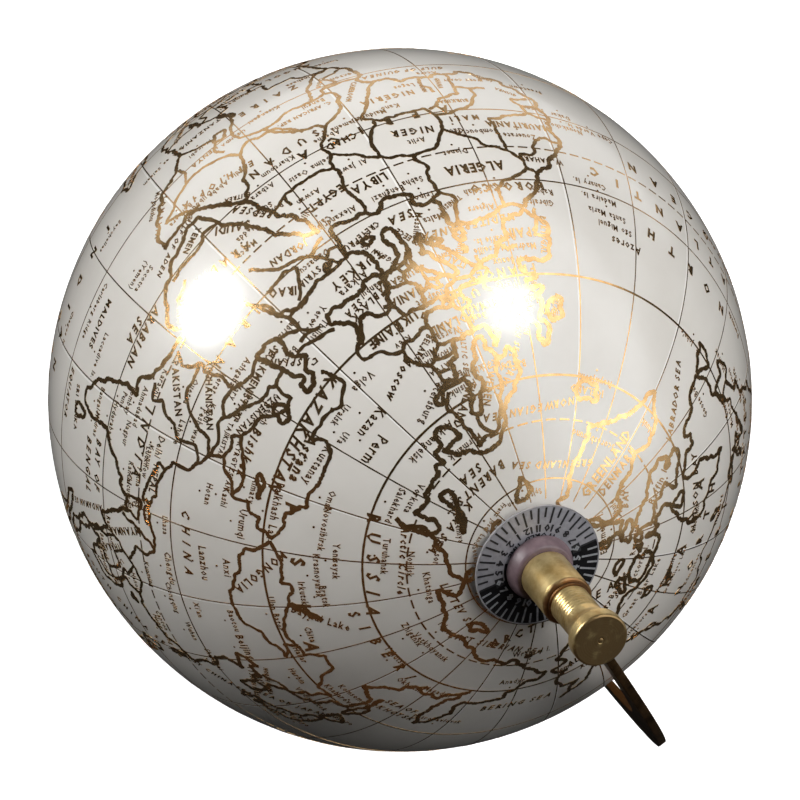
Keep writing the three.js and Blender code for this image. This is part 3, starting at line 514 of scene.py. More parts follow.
BORDERS = """
22.5,31.1 22.7,27.6 22.8,24.5 22.7,21.2 22.6,19.9 21.7,18.5 22.3,16.6 21.9,15.5 20.5,13.8 19.7,12.4
20.3,11.3; 22.7,21.2 26,20.6 29,20.5 31.3,20.7 32.5,21.3 33.8,22 34.6,22.1; 21.7,18.5 19.5,20.1 17.7,21.3
15.4,23 15.2,22.7; 15.2,22.7 14.3,23.6 11.5,24.3 9.8,24.6 10.5,25.4 9.8,26.3 9,27.3 9,27.9 9.7,28.7 9.4,30.9
9.2,32.5 7.5,33.4 6.9,34.2 7.8,36 8.6,38.1; 9.2,32.5 10.3,33 11.2,33.4; 9.8,24.6 4.2,21.6 3.4,20.6 0.3,22.7
-2.8,25.3 -5.8,26.2 -8.2,28.4 -8.3,29.7 -7,30.7 -5.4,31.4 -3,32.1 -1.5,33.3 -1.3,34.8 -1.4,36.6; -8.2,28.4
-7.8,27 -10.3,26.9 -11,26.3 -10.9,25.1 -12,23.6 -16.6,23.4; -8.3,29.7 -9.9,30.7; -8.5,7.6 -7.6,4.4; -8,10.2
-5.5,10.4 -2.8,9.8 -3.2,5.1; -2.8,9.8 -2.8,12 0.9,13 3.5,15.5; 0.9,11 1.6,6.2; 22.8,11 24.2,8.7 27.4,5.1
22.4,4.1 18.6,4.3 16.2,3.5 14.7,4.6 14.5,6 15.5,7.6; 16.2,3.5 16.2,2.2 9.8,2.2; 16.2,2.2 13.2,1.2 14.4,-1.5
12,-2.8 11.1,-3.9; 18.6,4.3 17.8,0.3 16.2,-2.5 14.5,-4.9 12.4,-5.8; 12.3,-6 16.6,-5.9 17.5,-8 21.8,-7.3
22,-10.9 24,-10.9 24,-13 22,-13 22,-16.2 23.4,-17.6 18.4,-17.4 11.8,-17.3; 24,-10.9 25.5,-11.7 28.4,-12.5
29.8,-13.4 28.6,-9.4 30.8,-8.3 29.4,-5.8 29.3,-4.4 30.8,-1 31.3,2.2 30.9,3.5 29.5,4.4 27.4,5.1; 39.2,-4.7
34,-1 34,0.2 35,1.8 34,4.2; 40.4,-10.5 34.9,-11.5 34.6,-14.5 35.8,-16; 25.3,-17.8 27,-17.9 30.4,-15.6 33,-14
33.3,-10 30.8,-8.3; 30.4,-15.6 32.9,-17 32.5,-20.5 31.3,-22.4 31.9,-25.9 32.9,-26.9; 31.3,-22.4 29.3,-22.2
27,-23.7 25.5,-25.7 22.8,-25.6 20,-24.8 20,-28.4 16.5,-28.6; 20,-24.8 20,-22 21,-22 21,-18.3 25.3,-17.8
27.5,-20.5 29.3,-22.2; 27.2,-29.6 29.3,-29.5 28,-30.6 27.2,-29.6; -8.8,41.9 -6.2,41.6 -7,39.7 -7,38
-7.4,37.2; -1.7,43.4 3.1,42.4; 7.5,43.8 7,45.9 6,46.2 7.6,47.6 9.6,47.5 10.4,46.6 9,45.9 7,45.9; 7.6,47.6
8.2,49 6.2,49.5 2.6,51.1; 6.2,49.5 6,51.8 7,53.3; 6,50.8 3.4,51.3; 8.7,54.9 9.9,54.8; 14.2,53.9 14.7,52.3
14.9,50.9 12.2,50.2 13.8,48.7 16.9,48.7 18.8,49.6 14.9,50.9; 9.6,47.5 13,47.6 13.8,48.7; 16.9,48.7 16.1,47
13.7,46.5 10.4,46.6; 13.7,46.5 13.7,45.6; 18.8,49.6 22.6,49.1 24,50.6 23.6,52.2 23.8,54 22.8,54.4 19.8,54.4;
16.9,48.7 18.8,47.9 22.2,48.4 21.2,46.2 18.8,45.9 16.4,46.5; 22.2,48.4 24.9,47.8 26.7,48.2 28.2,46
29.7,45.3; 28.6,43.8 25.5,43.7 22.8,44 21.4,44.8 21.2,46.2; 28,42 26.3,41.9 26.4,41.3 23,41.4 22.4,42.4
22.8,44; 18.8,45.9 19,44.9 15.8,45.2; 19,44.9 19.2,43.3 18.5,42.5; 19.4,41.9 20.5,42.2 21,40.9 20,39.7;
21,40.9 23,41.4; 22.4,42.4 20.5,42.2; 23.6,52.2 23.6,51.6 27.5,51.5 30.6,51.4 31.8,52.1 34,51.7 35.5,50.4
38,49.9 40,49.5 39.8,48 38.3,47.1; 31.8,52.1 32.6,53.4 30.8,54.8 28.2,56.1 26.6,55.7 23.8,54; 28.2,56.1
27.7,57.5 27.5,59.3; 27.4,57.6 24.3,57.9; 26.6,55.7 21,56.1; 11.2,59 12.5,61 12.2,63 14.2,64.6 15.5,66.4
18,68.5 20.5,69.1; 24.1,65.8 23.6,67.9 20.5,69.1 25.7,69 28.8,69.8 28.6,68 30,66 29.7,64.5 31.3,62.8
28,60.7; 41.6,41.6 43.5,41.1 44.8,39.7 44.5,37.3 42.4,37.2 39,36.8 36,36.1; 40,43.4 43.8,42.6 46.5,41.8
48.5,41.8; 43.5,41.1 46.5,41.1; 44.8,39.7 46.5,38.9 48.9,38.4; 44.5,37.3 46,35.8 46,33.2 47.9,31 48.5,30;
52,19 55,20 55.6,22 52.6,22.9 51.5,24.3; 55.6,22 55.8,24.3 56.3,25; 53.9,37.4 57,38.2 61.2,36.6 60.6,34.3
61.7,31.3 60.9,29.8 63.2,27.2 61.6,25.2; 60.9,29.8 66.3,29.9 69.3,31.9 71.1,34.3 71.7,36.4 74.6,37.1;
61.2,36.6 64.5,36.3 66.6,37.4 70,37.6 71.5,38 74.6,37.1 73.6,39.5 76,40.4 80.2,42.2 80.3,45 82.5,45.5
83,47.2 85.6,47.1 85.8,48.4 87.3,49.1; 66.6,37.4 64.2,39 60.1,41.4 57,41.3 56,42.2 52.6,41.8; 56,42.2 56,45
58.6,45.6 61.9,43.6 66,42 68.1,41.1 70.9,42.2 73.5,43 79,42.8 80.2,42.2; 68.1,41.1 69.3,39.6 73.6,39.5;
48.2,46.3 47,48 46.6,50 50.8,51.7 55,50.7 59.8,50.6 61.6,51 60,52.1 61.2,54 65,54.4 71,54.2 73.5,53.5
77,53.9 80,50.8 83.5,51 87.3,49.1; 87.8,49.1 92.3,50.8 98.3,50.5 98.5,52.1 102.2,51.3 106.5,50.3 110.7,49.2
116.7,49.9; 87.8,49.1 91,46.6 90.9,45.2 95.4,44.2 100,42.6 105,41.6 110,42.7 112,45.1 116,46.4 119.8,46.7
118,47.8 115.6,47.8 116.7,49.9; 116.7,49.9 119.8,50 121,53.2 125.6,53 127.5,50 131,47.7 134.7,48.4 133,45.1
131.2,44.9 130.6,42.4; 124.4,40.1 126.9,41.7 128.1,42 130.6,42.4; 126.7,37.8 128.4,38.6; 74.6,37.1 76.9,35.6
79,34.3 78.9,31.3 81,30.2 84.2,28.9 88.1,27.9 89,27.3 92,27.8 97.3,28.3; 76.9,35.6 74,34.5 74.5,31 71.9,27.9
70,26.5 71,24.5 68.2,23.8; 81,30.2 80.1,28.8 84,27.4 88,26.4 88.1,27.9; 89,27.3 89.2,26.8 92,26.8 92,27.8;
89,21.9 88.6,24.3 88.2,25.8 89.8,25.9 92.4,25 91.3,23.6 92.3,20.9; 92.4,21.5 93.3,24 94.8,26 97.3,28.3
98.7,26 97.7,24 99.5,22.9 101.2,21.5 100,20.3 97.8,18.5 98.9,16.2 98.5,14 99.5,11.8 98.7,10; 100,20.3
101.2,17.6 104,18.3 104.8,16.4 105.5,14.4 102.4,13.6 102.9,11.8; 102.2,22.4 104.8,20 103.9,19.3 107.5,15.5
107.5,12.3 105.2,10.6; 101.2,21.5 102.2,22.4 105.3,23.3 108,21.6; 105.5,14.4 107.5,14.5; 100.1,6.5 101.8,5.8
102.1,6.2; 109.6,2 111.8,1 114.8,2 115.8,4.3 117.6,4.2; 141,-2.6 141,-9.1; -123,49 -95.2,49 -89.5,48
-84.5,46.5 -82.5,45.3 -82.5,42 -79,43 -76.4,44.2 -74.8,45 -71.4,45.2 -69.2,47.4 -67.8,47 -67,45; -141,69.6
-141,60.3 -137.5,59 -130.1,56 -130,55; -117.1,32.5 -114.8,32.6 -111,31.3 -106.5,31.7 -103.2,29 -101,29.4
-97.2,25.9; -92.2,14.6 -91,16.5 -90.4,17.8 -89.2,17.8 -88.3,18.4; -88.6,15.8 -89.4,14.4 -87.7,13.3; -87.2,13
-85,14.7 -83.2,15; -85.7,11.1 -83.7,10.9; -82.9,9.5 -82.9,8.2; -77.4,8.6 -77.8,7.3; -71.5,11.8 -72.5,9
-71.8,7 -67.5,6.2 -67.8,2.8 -67,1.2 -69.8,1.1 -69.5,-1 -70,-4.2; -78.8,1.4 -75.3,-0.2 -70.1,-2.7 -70,-4.2;
-75.3,-0.2 -75.6,-1.6 -78.3,-3.4 -79.2,-5 -80.3,-3.5; -70,-4.2 -73,-5 -74,-7.5 -72.8,-9.5 -70.6,-9.5
-70.6,-11 -69.5,-11; -69.5,-11 -65.4,-10 -65.3,-12 -60.5,-13.8 -60.2,-16.2 -58.4,-16.3 -57.6,-18 -58,-20
-62.2,-20.5 -62.7,-22.2 -66.2,-21.9 -67.8,-22.8 -68.6,-20 -69.5,-17.5 -68.8,-14 -69.5,-11; -69.5,-17.5
-70.4,-18.3; -67.8,-22.8 -68.5,-26.5 -70,-30 -70,-34 -71.3,-38 -71.8,-43 -72.2,-48 -73.3,-50.5 -71.5,-52
-68.4,-52.3; -62.7,-22.2 -57.6,-25.5 -58.6,-27.3 -55.8,-27.4 -54.6,-25.6 -54.3,-24 -57.8,-22.1 -58,-20;
-58.3,-34 -57.6,-30.2 -53.4,-33.7; -57.6,-30.2 -53.8,-27.1 -54.6,-25.6; -60,8.4 -61.3,5.9 -59.9,5 -60.2,1.7
-56.5,2 -54.6,2.3 -51.7,4.1; -57.2,5.5 -58,3.5 -56.5,2; -54,5.5 -54.6,2.3; -67,1.2 -63.4,2.2 -64.5,4.2
-60.8,5.2; -5.8,26.2 -5.6,23.5 -5.5,21.4 -5.1,19 -8,18.2 -11,17.6 -13,16.8 -16.5,17.8; -13,16.8 -12.6,14.8
-15.8,14.2; -12.6,14.8 -11.4,12.9 -14.6,12.2; 15.2,22.7 15.3,21 15.2,19.7 14.6,18.2 12.8,16.2 12.6,14.9
14.1,13.8; 12.6,14.9 10.7,15.3 8.2,15.3 5.7,15.2 4.3,15 3.5,16.5 3,18 3.4,20.6; 3.2,17 0.8,17.2 -2,16.2
-4,14.8 -5.5,12.5 -5.5,10.4; 14.1,13.8 12.8,12 11.4,9.5 10.2,7.2 8.6,4.8; 19.7,12.4 17,10.5 15.5,8.6 14.5,6;
31.6,20.9 31.9,22 31.6,23.2; 20.3,11.3 22.8,10.5 25,9 27,6.5 30.3,5.6 32.6,7.6 32.8,9.2 33.8,12 34.9,13
34.8,14.8 36.1,16.9 37.6,16.2 40,13.6 41.5,12.4; 32.6,7.6 34.5,5.4 37,4.2 39.5,3.6 41.5,4 44,5 46,6.6 48,7.6
44.5,9.2 42.2,10.6; 41.5,4 40.6,1.5 41,-1; 42,16.6 43.8,15.9 45.2,15.7 46,16.9 48.3,17.2 51.3,16.9
53.5,17.2; 29.4,35.8 31,35.8 32.3,36.2 34.8,36.2 38,36.5 40.7,37.3 42,37.4; 37.6,32.2 39,34.4 41.3,36.5;
43.9,27.1 42,28.9 40,30.6 38,31 36,31.5 34.5,32.4; 44.3,31.9 42,31.9 39.8,31.4 37.6,32.2; 29.5,33.6
31.5,33.2 32.8,34.2 31.5,35.8; 31,31 33,31.6 34.5,32.4 32.8,34.2; 42,37.4 43.7,36.7 45.4,36 46.5,34 47,32.5
"""

# Names: text@longitude,latitude,turn,size,gap. The turn is in degrees, the size in millimetres before the
# table's own growth, and the gap between letters a share of the size. What is left out has a default.

COUNTRIES = """
LIBYA@19.2,26.8,2,2.2; CHAD@19,16.9,2,2; NIGER@8.2,19.8,-8,2.1,.35; ALGERIA@1.2,29.3,0,2.5;
EGYPT@26.5,25.5,4,2.1; MOROCCO@-3.4,33.3,0,2.1,.35; MAURITANIA@-10,20.3,0,1.9; MALI@-1.2,18.6,0,1.7,.5;
W. SAHARA@-11.6,27.9,0,1.4; SPAIN@-3.2,41.3,0,2.1; PORTUGAL@-8,41.7,80,1.3; TUNISIA@8.3,34.8,20,1.2;
SUDAN@27.3,13.2,4,2.3,1; CYPRUS@27,34.6,0,1.5; CRETE@23.8,34,10,1.4; TURKEY@29.6,38.4,3,2,.4;
GREECE@18.3,37.8,-60,1.3; BULGARIA@24.2,43,0,1.5; ROMANIA@22.6,45.8,0,1.9; UKRAINE@30.8,48.8,0,2.1;
POLAND@18.5,52.2,0,1.9; BELARUS@28,53.6,30,1.3; LITHUANIA@24.5,55.6,0,1.1; LATVIA@26.3,57.2,0,1.1;
ESTONIA@26,59.2,0,1.1; FINLAND@26,63.5,40,1.8; SWEDEN@16,62.5,60,1.6; NORWAY@9.8,62.4,40,1.5;
SYRIA@37,34.9,5,1.5; IRAQ@42.3,33.7,-40,1.9; JORDAN@37,29.6,-10,1.7; SAUDI@41,19.2,-40,2.2;
ARABIA@46.2,22.7,-15,2.2,.5; YEMEN@46.8,14.9,20,1.6; ERITREA@37.3,15.2,-35,1.2;
ETHIOPIA@38.2,9.6,-14,1.9,.7; SOMALIA@47.8,5,50,1.5,.5; KENYA@36.8,1.5,0,1.6; UGANDA@31.6,2.3,0,1.1;
OMAN@56,21.6,40,1.5; IRAN@53.6,32.6,0,2.4,1.2; TURKMENISTAN@58.2,39.1,2,1.7; UZBEKISTAN@62.7,41.9,-20,1.5;
AFGHANISTAN@64.6,33.6,30,1.6; PAKISTAN@66.9,28,34,1.8; TAJIKISTAN@70.5,38.9,0,1.1;
KYRGYZSTAN@74.5,41.4,0,1.2; NEPAL@83.5,28.3,-5,1.7; BHUTAN@90.3,27.4,0,1.1; BANGLADESH@89.8,24.4,-60,1.2;
SRI LANKA@80.8,6.3,10,1.5; MALDIVES@66.8,6.2,0,1.9; MYANMAR@96,21.4,-70,1.8; THAILAND@101,16.3,-70,1.6;
LAOS@103.4,18.4,-50,1.2; VIETNAM@107.2,16.6,-60,1.3; CAMBODIA@105,12.8,0,1.1; MONGOLIA@96.4,47.4,-48,2,.3;
NORTH KOREA@126.8,40,-30,1.1; SOUTH KOREA@128,36.4,-30,1.1; JAPAN@139,37,40,1.6,.5; TAIWAN@121,24.6,-60,.9;
PHILIPPINES@124.2,12.5,-70,1.4; MALAYSIA@112.5,3.8,20,1.2; INDONESIA@113.5,-1.6,0,1.9,.6;
PAPUA NEW GUINEA@143,-6,-15,1.2; AUSTRALIA@133,-25.5,0,3.2,1.1; NEW ZEALAND@173,-43.4,45,1.3;
NIGERIA@8.3,10.2,0,1.9,.4; CAMEROON@12.4,5.6,60,1.2; C. AFRICAN REP.@20.8,6.8,0,1.2; GABON@11.7,-.6,0,1.1;
CONGO@15.2,-.8,60,1.1; ZAIRE@23.3,-3,0,2.3,.8; ANGOLA@17.6,-12.4,0,2,.4; ZAMBIA@26.6,-14,20,1.6;
TANZANIA@34.8,-6.6,0,1.6; MOZAMBIQUE@36.6,-14.4,60,1.4; ZIMBABWE@29.8,-19.2,0,1.3; NAMIBIA@17,-21.4,-70,1.6;
BOTSWANA@23.8,-22.2,0,1.4; SOUTH AFRICA@23.6,-30.6,0,1.9; MADAGASCAR@46.8,-19,72,1.6; GHANA@-1,8.3,80,1.1;
IVORY COAST@-5.4,7.4,0,1; LIBERIA@-9.4,6.4,-50,.9; GUINEA@-11.4,10.8,-30,1.1; SENEGAL@-14.4,15,0,1.1;
BURKINA@-1.2,14,0,1.2; BENIN@2.1,9.6,85,.9; ICELAND@-18.8,64.9,0,1.5; UNITED KINGDOM@-1.6,52.8,70,1.1;
IRELAND@-8,53,70,1.1; FRANCE@2.2,47.3,0,2.1,.4; GERMANY@10.2,51.4,0,1.6; ITALY@12.4,43.6,-45,1.5;
GREENLAND@-40,73.7,-97,2.3,.12; DENMARK@-48.6,73.4,-90,1.9,.2; CANADA@-110,61.6,0,3.2,1.6;
UNITED STATES@-98.5,40.6,0,2.9,.7; OF AMERICA@-98.5,36,0,2.3,.7; MEXICO@-103,24.5,-38,2.1,.5;
CUBA@-78.8,21.6,-15,1.1; GUATEMALA@-90.6,14.9,0,.9; NICARAGUA@-85,12.8,0,1; COLOMBIA@-73.3,3.6,0,1.8;
VENEZUELA@-65.6,7.3,0,1.8; GUYANA@-58.9,5,75,1; ECUADOR@-78.2,-1.3,0,1.1; PERU@-75.6,-9,-55,2;
BOLIVIA@-64.6,-16.8,0,1.8; BRAZIL@-52.5,-9.6,0,3.4,1.8; PARAGUAY@-58.7,-22.9,-30,1.1;
CHILE@-70.8,-30,-86,1.5,.6; ARGENTINA@-65.6,-35,-78,2.1,.4; URUGUAY@-55.9,-32.8,0,1.2;
ALASKA@-153,65.6,0,1.9
"""

REGIONS = """
RUSSIA@91.3,64.6,0,2.8,.85; KAZAKHSTAN@61.6,49.1,1,2.6,.12; CHINA@93.3,35,0,2.1,.75;
INDIA@78.5,24.6,0,2.4,.7; Astana@66.1,50.9,2,2.4; Bishkek@70.6,43.1,0,2.1; Moscow@36.5,55,25,1.9;
ARCTIC OCEAN@-160,78,0,2.2,.5; SIBERIA@128,62,0,2.4,1.2
"""

SPACED = """
AFRICA@13.2,16.3,0,2.6,2; NORTH@-46,36.3,0,2.6,1.9; ATLANTIC@-40.4,29.2,0,2.6,1.9;
OCEAN@-42.4,22.6,0,2.6,1.9; NORTH@-103.5,56,0,2.7,1.6; AMERICA@-104,48.4,0,2.7,1.9;
INDIAN@68,-8.6,0,2.9,1.8; OCEAN@84,-14.5,0,2.9,1.8; NORTH@-172,34,0,2.9,2.2; PACIFIC@-172,27,0,2.9,2.2;
OCEAN@-172,20,0,2.9,2.2; SOUTH@-125,-26,0,2.9,2.2; PACIFIC@-125,-33,0,2.9,2.2; OCEAN@-125,-40,0,2.9,2.2;
SOUTH@-16,-21,0,2.9,2; ATLANTIC@-16,-28,0,2.9,2; OCEAN@-16,-35,0,2.9,2; EUROPE@20,49.6,0,1.9,2.4;
ASIA@98,53.6,0,3.2,3.2; SOUTH@-60,-5,0,2.6,2; AMERICA@-58,-13,0,2.6,2; ANTARCTICA@80,-76,0,3,1.4;
SOUTHERN OCEAN@120,-58,0,2.5,1
"""

WATERS = """
RED@36,21.1,-56,1.8; SEA@38,18,-56,1.8; MEDITERRANEAN@7.4,39,0,1.8; SEA@17.5,34.3,0,2;
BLACK@32.6,43.8,10,1.6; SEA@34.4,42.9,10,1.6; CASPIAN@50.3,42.2,-50,1.6; SEA@52,38.9,0,1.6;
AEGEAN SEA@24.6,38,-62,1.1; ARABIAN@63.4,17.6,0,2.2; SEA@63.4,15.4,0,2.2; GULF OF ADEN@49.3,12.5,17,1.4;
BAY OF@87,14.8,0,2,.3; BENGAL@88,12,0,2,.3; ANDAMAN SEA@95.6,10.4,-75,1.5;
SOUTH CHINA SEA@114,13.5,55,1.8,.4; EAST CHINA SEA@125.4,29.6,45,1.4; SEA OF JAPAN@135,39.8,40,1.5;
SEA OF@149,54.6,0,1.6; OKHOTSK@149,52.4,0,1.6; BERING SEA@-178,58.4,0,1.9; KARA SEA@68,74.6,-15,1.8;
LAPTEV SEA@122,75.4,0,1.7; BARENTS@38.5,74.2,0,1.9; SEA@39,72.2,0,1.9; EAST SIBERIAN SEA@160,73.4,0,1.6;
NORWEGIAN SEA@4,67.6,0,1.6; NORTH SEA@3.2,56.4,70,1.2; BALTIC SEA@19,57,70,1.1; GREENLAND SEA@-6,76,0,1.5;
BAFFIN@-65.9,76,-31,1.6; BAY@-65.3,74.8,-24,1.6; HUDSON BAY@-85.5,60,0,2; LABRADOR SEA@-53.5,58.4,-60,1.6;
GULF OF MEXICO@-90.5,25,0,1.7; CARIBBEAN SEA@-74.6,15,0,1.6; BEAUFORT SEA@-138,72.8,0,1.5;
CORAL SEA@155,-17.5,0,1.8; TASMAN SEA@160,-38,0,1.9; ARAFURA SEA@135.4,-9.8,0,1.1;
DRAKE PASSAGE@-64,-59,0,1.4; PERSIAN GULF@52,26.8,-35,1; GULF OF GUINEA@2.6,2.5,0,1.5;
Arctic Circle@88.6,68.9,0,1.7; Tropic of Cancer@-58,21.6,0,1.4; Tropic of Capricorn@70,-25.2,0,1.5;
Equator@-28,-1.4,0,1.5; EQUATOR@80,2.4,0,1.7; Weddell Sea@-42,-71,0,1.4;
Great Australian Bight@131,-34,0,1.3
"""

PLACES = """
Khartoum@29.4,15.1; Port@34,21.9; Sudan@35.6,20.6; Atbara@33.7,17.6; Selma Oasis@25.8,19.2;
Al Jawf@19.8,22.6; Aswan@28.6,23.6; Nile@31,26.2,20; Alexandria@27,29.6; Cairo@29.6,28.9;
Benghazi@17.4,29.8; Sabha@12.6,29.3; Tripoli@12.3,32.4; Djanet@3.3,25.8; Arlit@8.4,22; In Salah@2.4,33.6;
In Sw@-1.4,33.2; Rabat@-10,34.2; Algiers@3,36.6; Gibraltar@-8.4,36.2; Zouerate@-9.4,22.9; Tombouctou@-2,22;
Gao@1.3,21.4; Madrid@-3.1,43.6; Balearic Is.@2.6,42; Marseille@4.2,43.4; Sardinia@9.4,41.6,60;
Malta@12.4,36.4; Messina@15.6,36.6,60; Ankara@31.6,39.9,8,1.8; Istanbul@29,42.2; Yerevan@41.6,40.4,15;
Tbilisi@42.2,41.9,10; Tabriz@46.2,38.4; Baku@49.6,41.2; Damascus@35,33.4; Jedda@40.2,21.9; Mecca@41.6,24.2;
Addis Ababa@36.5,10.9; Djibouti@42,10.2; Berbera@45.4,8.9; Nairobi@36.4,-1.6; Mogadishu@47.4,1.5,50;
Socotra@56.4,11.3; (Yemen)@56.6,9.6; Seychelles@56,-5.4; Chagos Is.@72.4,-5.2; Carlsberg Ridge@66,2.9;
Laccadive Is.@70.8,9.4; Ashgabat@58.4,36.4; Mary@61.4,37.4; Bukhara@63.4,39.6; Urgench@60.8,43.4;
Herat@62,34.2; Kabul@67.4,34.9; Quetta@66,30.6; Lahore@73.4,31.2; Karachi@67.8,24.9; Peshawar@70.6,34;
Delhi@77.6,28.4,0,1.8; Ahmadabad@73.2,22.6; Pune@74,18.7; Bombay@73.4,20.2; Nagpur@78.6,21.2;
Hyderabad@78,17.4; Bangalore@77.4,13.2; Madras@80.6,13.4; Kanpur@80.2,26.8; Patna@84.6,25.2;
Calcutta@87.4,23.2; Ranchi@84.6,23.2; Lucknow@81.4,26.4; Hotan@81.8,38.5; Kashi@81.2,41.3; Almaty@77.6,45.5;
Urumqi@85.6,44.6,0,1.8; Balkhash Lake@81.2,49.4,0,1.8; Lanzhou@96.6,37.9,0,1.9; Anxi@96.4,42,0,1.7;
Chengdu@99.8,31,0,1.8; Lhasa@91.2,31; Chongqing@106.4,29.8; Xi'an@107.8,34.6; Baotou@109.4,40.8;
Beijing@116.4,40.6,0,2; Ulan Bator@107,48.6; Hailar@119.6,49.4; Harbin@126,46.2; Shanghai@120.6,32.2;
Wuhan@113.6,31; Canton@113,24.6; Hong Kong@115.6,23.4; Kunming@102.8,25.8; Hanoi@105.6,21.6;
Rangoon@97.4,17.6; Bangkok@101.8,14.6; Novosibirsk@81.6,57; Krasnoyarsk@95.6,56.4; Yeniseysk@90.6,59.2;
Irkutsk@101,53.8; Bratsk@102,57; Baykal Lake@109,55.4,60,1.9; Turuhansk@87.2,66.3; Salekhard@67.4,65.8;
Omsk@73.4,56.8; Kustanay@66.4,53.2,-8,1.8; Ufa@57,54.6; Perm@55,59.3,0,2.4; Kazan@49.5,56.6,0,2.1;
Uralsk@52.8,52.4; Volga@43.4,51.8,0,1.7; Kiev@30.6,51.2; Minsk@27.8,54.6; Petersburg@33.4,60.4,30,1.7;
Helsinki@24.2,61.3; Warsaw@21,53.4; Prague@15.6,50; Budapest@19.6,47.6; Vienna@16,48.6; Berlin@12.6,52.8;
Rome@12.9,42.6; Paris@2.8,49.2; Bordeaux@.6,45.6; London@-.4,51.9; Dublin@-7.4,54; Oslo@10,60.6;
Bergen@7,60.9; Stockholm@16.4,59.8; Murmansk@34,68.6; Arkhangelsk@42,64.8,0,1.7; Vorkuta@62,67.8;
Dikson@83.4,73.8; Norilsk@90,70; Khatanga@103,72.4; Tiksi@128,71.9; Yakutsk@129.6,62.8; Verkhoyansk@134,68;
Zhigansk@123.8,67.2; Okhotsk@143.4,60; Magadan@152.6,61; Khabarovsk@136,49.6; Vladivostok@134.4,44.4;
Chita@113.6,52.8; Komsomolsk@138,51.6; Sapporo@143.8,44.2; Tokyo@141.6,36.2; Osaka@136.6,33.8;
Pyongyang@126,39; Anadyr@176.6,65.4; Petropavlovsk@161.4,53.6; Wrangel I.@-179,72; Dakar@-19.6,15.4;
Nouakchott@-19,18.8; Canary Is.@-20.6,30.8; Madeira Is.@-22,33.4; Santa Maria@-23.4,36; Sao Miguel@-25,38;
Azores@-27.6,40.4,0,2; Cape Verde Is.@-24.6,17.6; Freetown@-16,8.4; Accra@-.6,4.4; Lagos@4.6,8; Kano@9,13;
Maiduguri@12.8,13.6; Ndjamena@16.4,13.8; Abeche@20.4,14.6; Kinshasa@17,-4.8; Luanda@11,-9.6;
Lusaka@28.6,-15.6; Harare@31.8,-17.8; Cape Town@15.4,-35; Durban@32.6,-30.2; Pretoria@28,-25;
Walvis Bay@11,-23; Dar es Salaam@42.4,-7; Beira@37.6,-20; Lubumbashi@26.4,-10.6; Kisangani@25.6,1.2;
Bangui@18.6,5.2; St. Helena@-4,-16.6; Ascension@-13,-9; Mauritius@58,-20; Reunion@55,-22; Jakarta@107,-5;
Singapore@105.6,2.2; Manila@121,15.2; Borneo@114,.8,0,1.8; Sumatra@101.6,-.6,-50,1.6; Perth@117.2,-31.4;
Adelaide@138,-33.8; Darwin@131.4,-13.6; Alice Springs@134,-22.8; Brisbane@151,-27.8; Sydney@149.4,-33.6;
Melbourne@143.6,-36.6; Hobart@148.6,-44.4; Auckland@177.6,-35.8; Wellington@177.4,-42; Noumea@166.6,-23.4;
Fiji@178,-17.4; Tahiti@-148,-17.4; Samoa@-171,-13.2; Hawaiian Is.@-156,22.6,-20,1.7; Midway@-177,28.9;
Guam@145,14; Marshall Is.@169,9; Easter I.@-108,-27.4; Galapagos Is.@-92,.6; Anchorage@-150,62.6;
Fairbanks@-147,66; Nome@-163,65; Whitehorse@-134,61.6; Vancouver@-122,50.2; Seattle@-119.6,47.4;
San Francisco@-118.8,38.6; Los Angeles@-115.4,34.8; Denver@-105,40; Chicago@-88.6,41.4; Dallas@-97,33.4;
Houston@-95.6,30.6; New Orleans@-90,30.8; Miami@-77.4,26; Atlanta@-84.2,34.2; Washington@-78,39.4;
New York@-72,41; Boston@-69,42.8; Montreal@-74,46.6; Quebec@-71,48; Toronto@-80.4,44.4; Halifax@-62,44.4;
Winnipeg@-97,51; Edmonton@-112.6,54.2; Churchill@-95,59.3; Yellowknife@-113,63;
Great Bear Lake@-120,67.6,0,1.6; Great Slave Lake@-112,60.6,0,1.2; Victoria I.@-109,71.4,0,1.7;
Banks I.@-121,73.6,0,1.6; Baffin I.@-72,68.4,-50,1.9; Ellesmere I.@-80,80.2,0,1.6; Resolute@-94,73.9;
Thule@-66,77.2; Nuuk@-48.6,65.2; Scoresbysund@-27,71.6; Reykjavik@-21.4,63.2; Goose Bay@-61.6,54;
St. John's@-50.4,48.4; Bermuda@-64,33.6; Havana@-82,24; Mexico City@-99,18.6; Guadalajara@-105.6,21.4;
Merida@-89,20; Panama@-80,7.6; Bogota@-73.4,5.8; Caracas@-66.6,9.8; Quito@-77.4,.6; Lima@-79,-12.6;
Manaus@-60,-3.4; Belem@-47.6,-2.6; Recife@-37,-9.4; Salvador@-40.6,-14; Brasilia@-47.6,-16.6;
Rio de Janeiro@-41,-24; Sao Paulo@-48.4,-22.6; La Paz@-67.4,-15.4; Asuncion@-57.4,-26.4;
Santiago@-73.4,-34.2; Buenos Aires@-60.6,-34.6; Montevideo@-53,-36; Bahia Blanca@-61.4,-40;
Falkland Is.@-59,-50.6; Punta Arenas@-69,-52.8; South Georgia@-36,-53.6; Trinidad@-61,11.8;
Jamaica@-77.4,17.2; Puerto Rico@-66.4,19.4; Novaya Zemlya@61,74.6,40,1.3; Spitsbergen@19,80,0,1.2;
Franz Josef Land@55,79.6,0,1.1; Severnaya Zemlya@99,79.8,0,1.2
"""

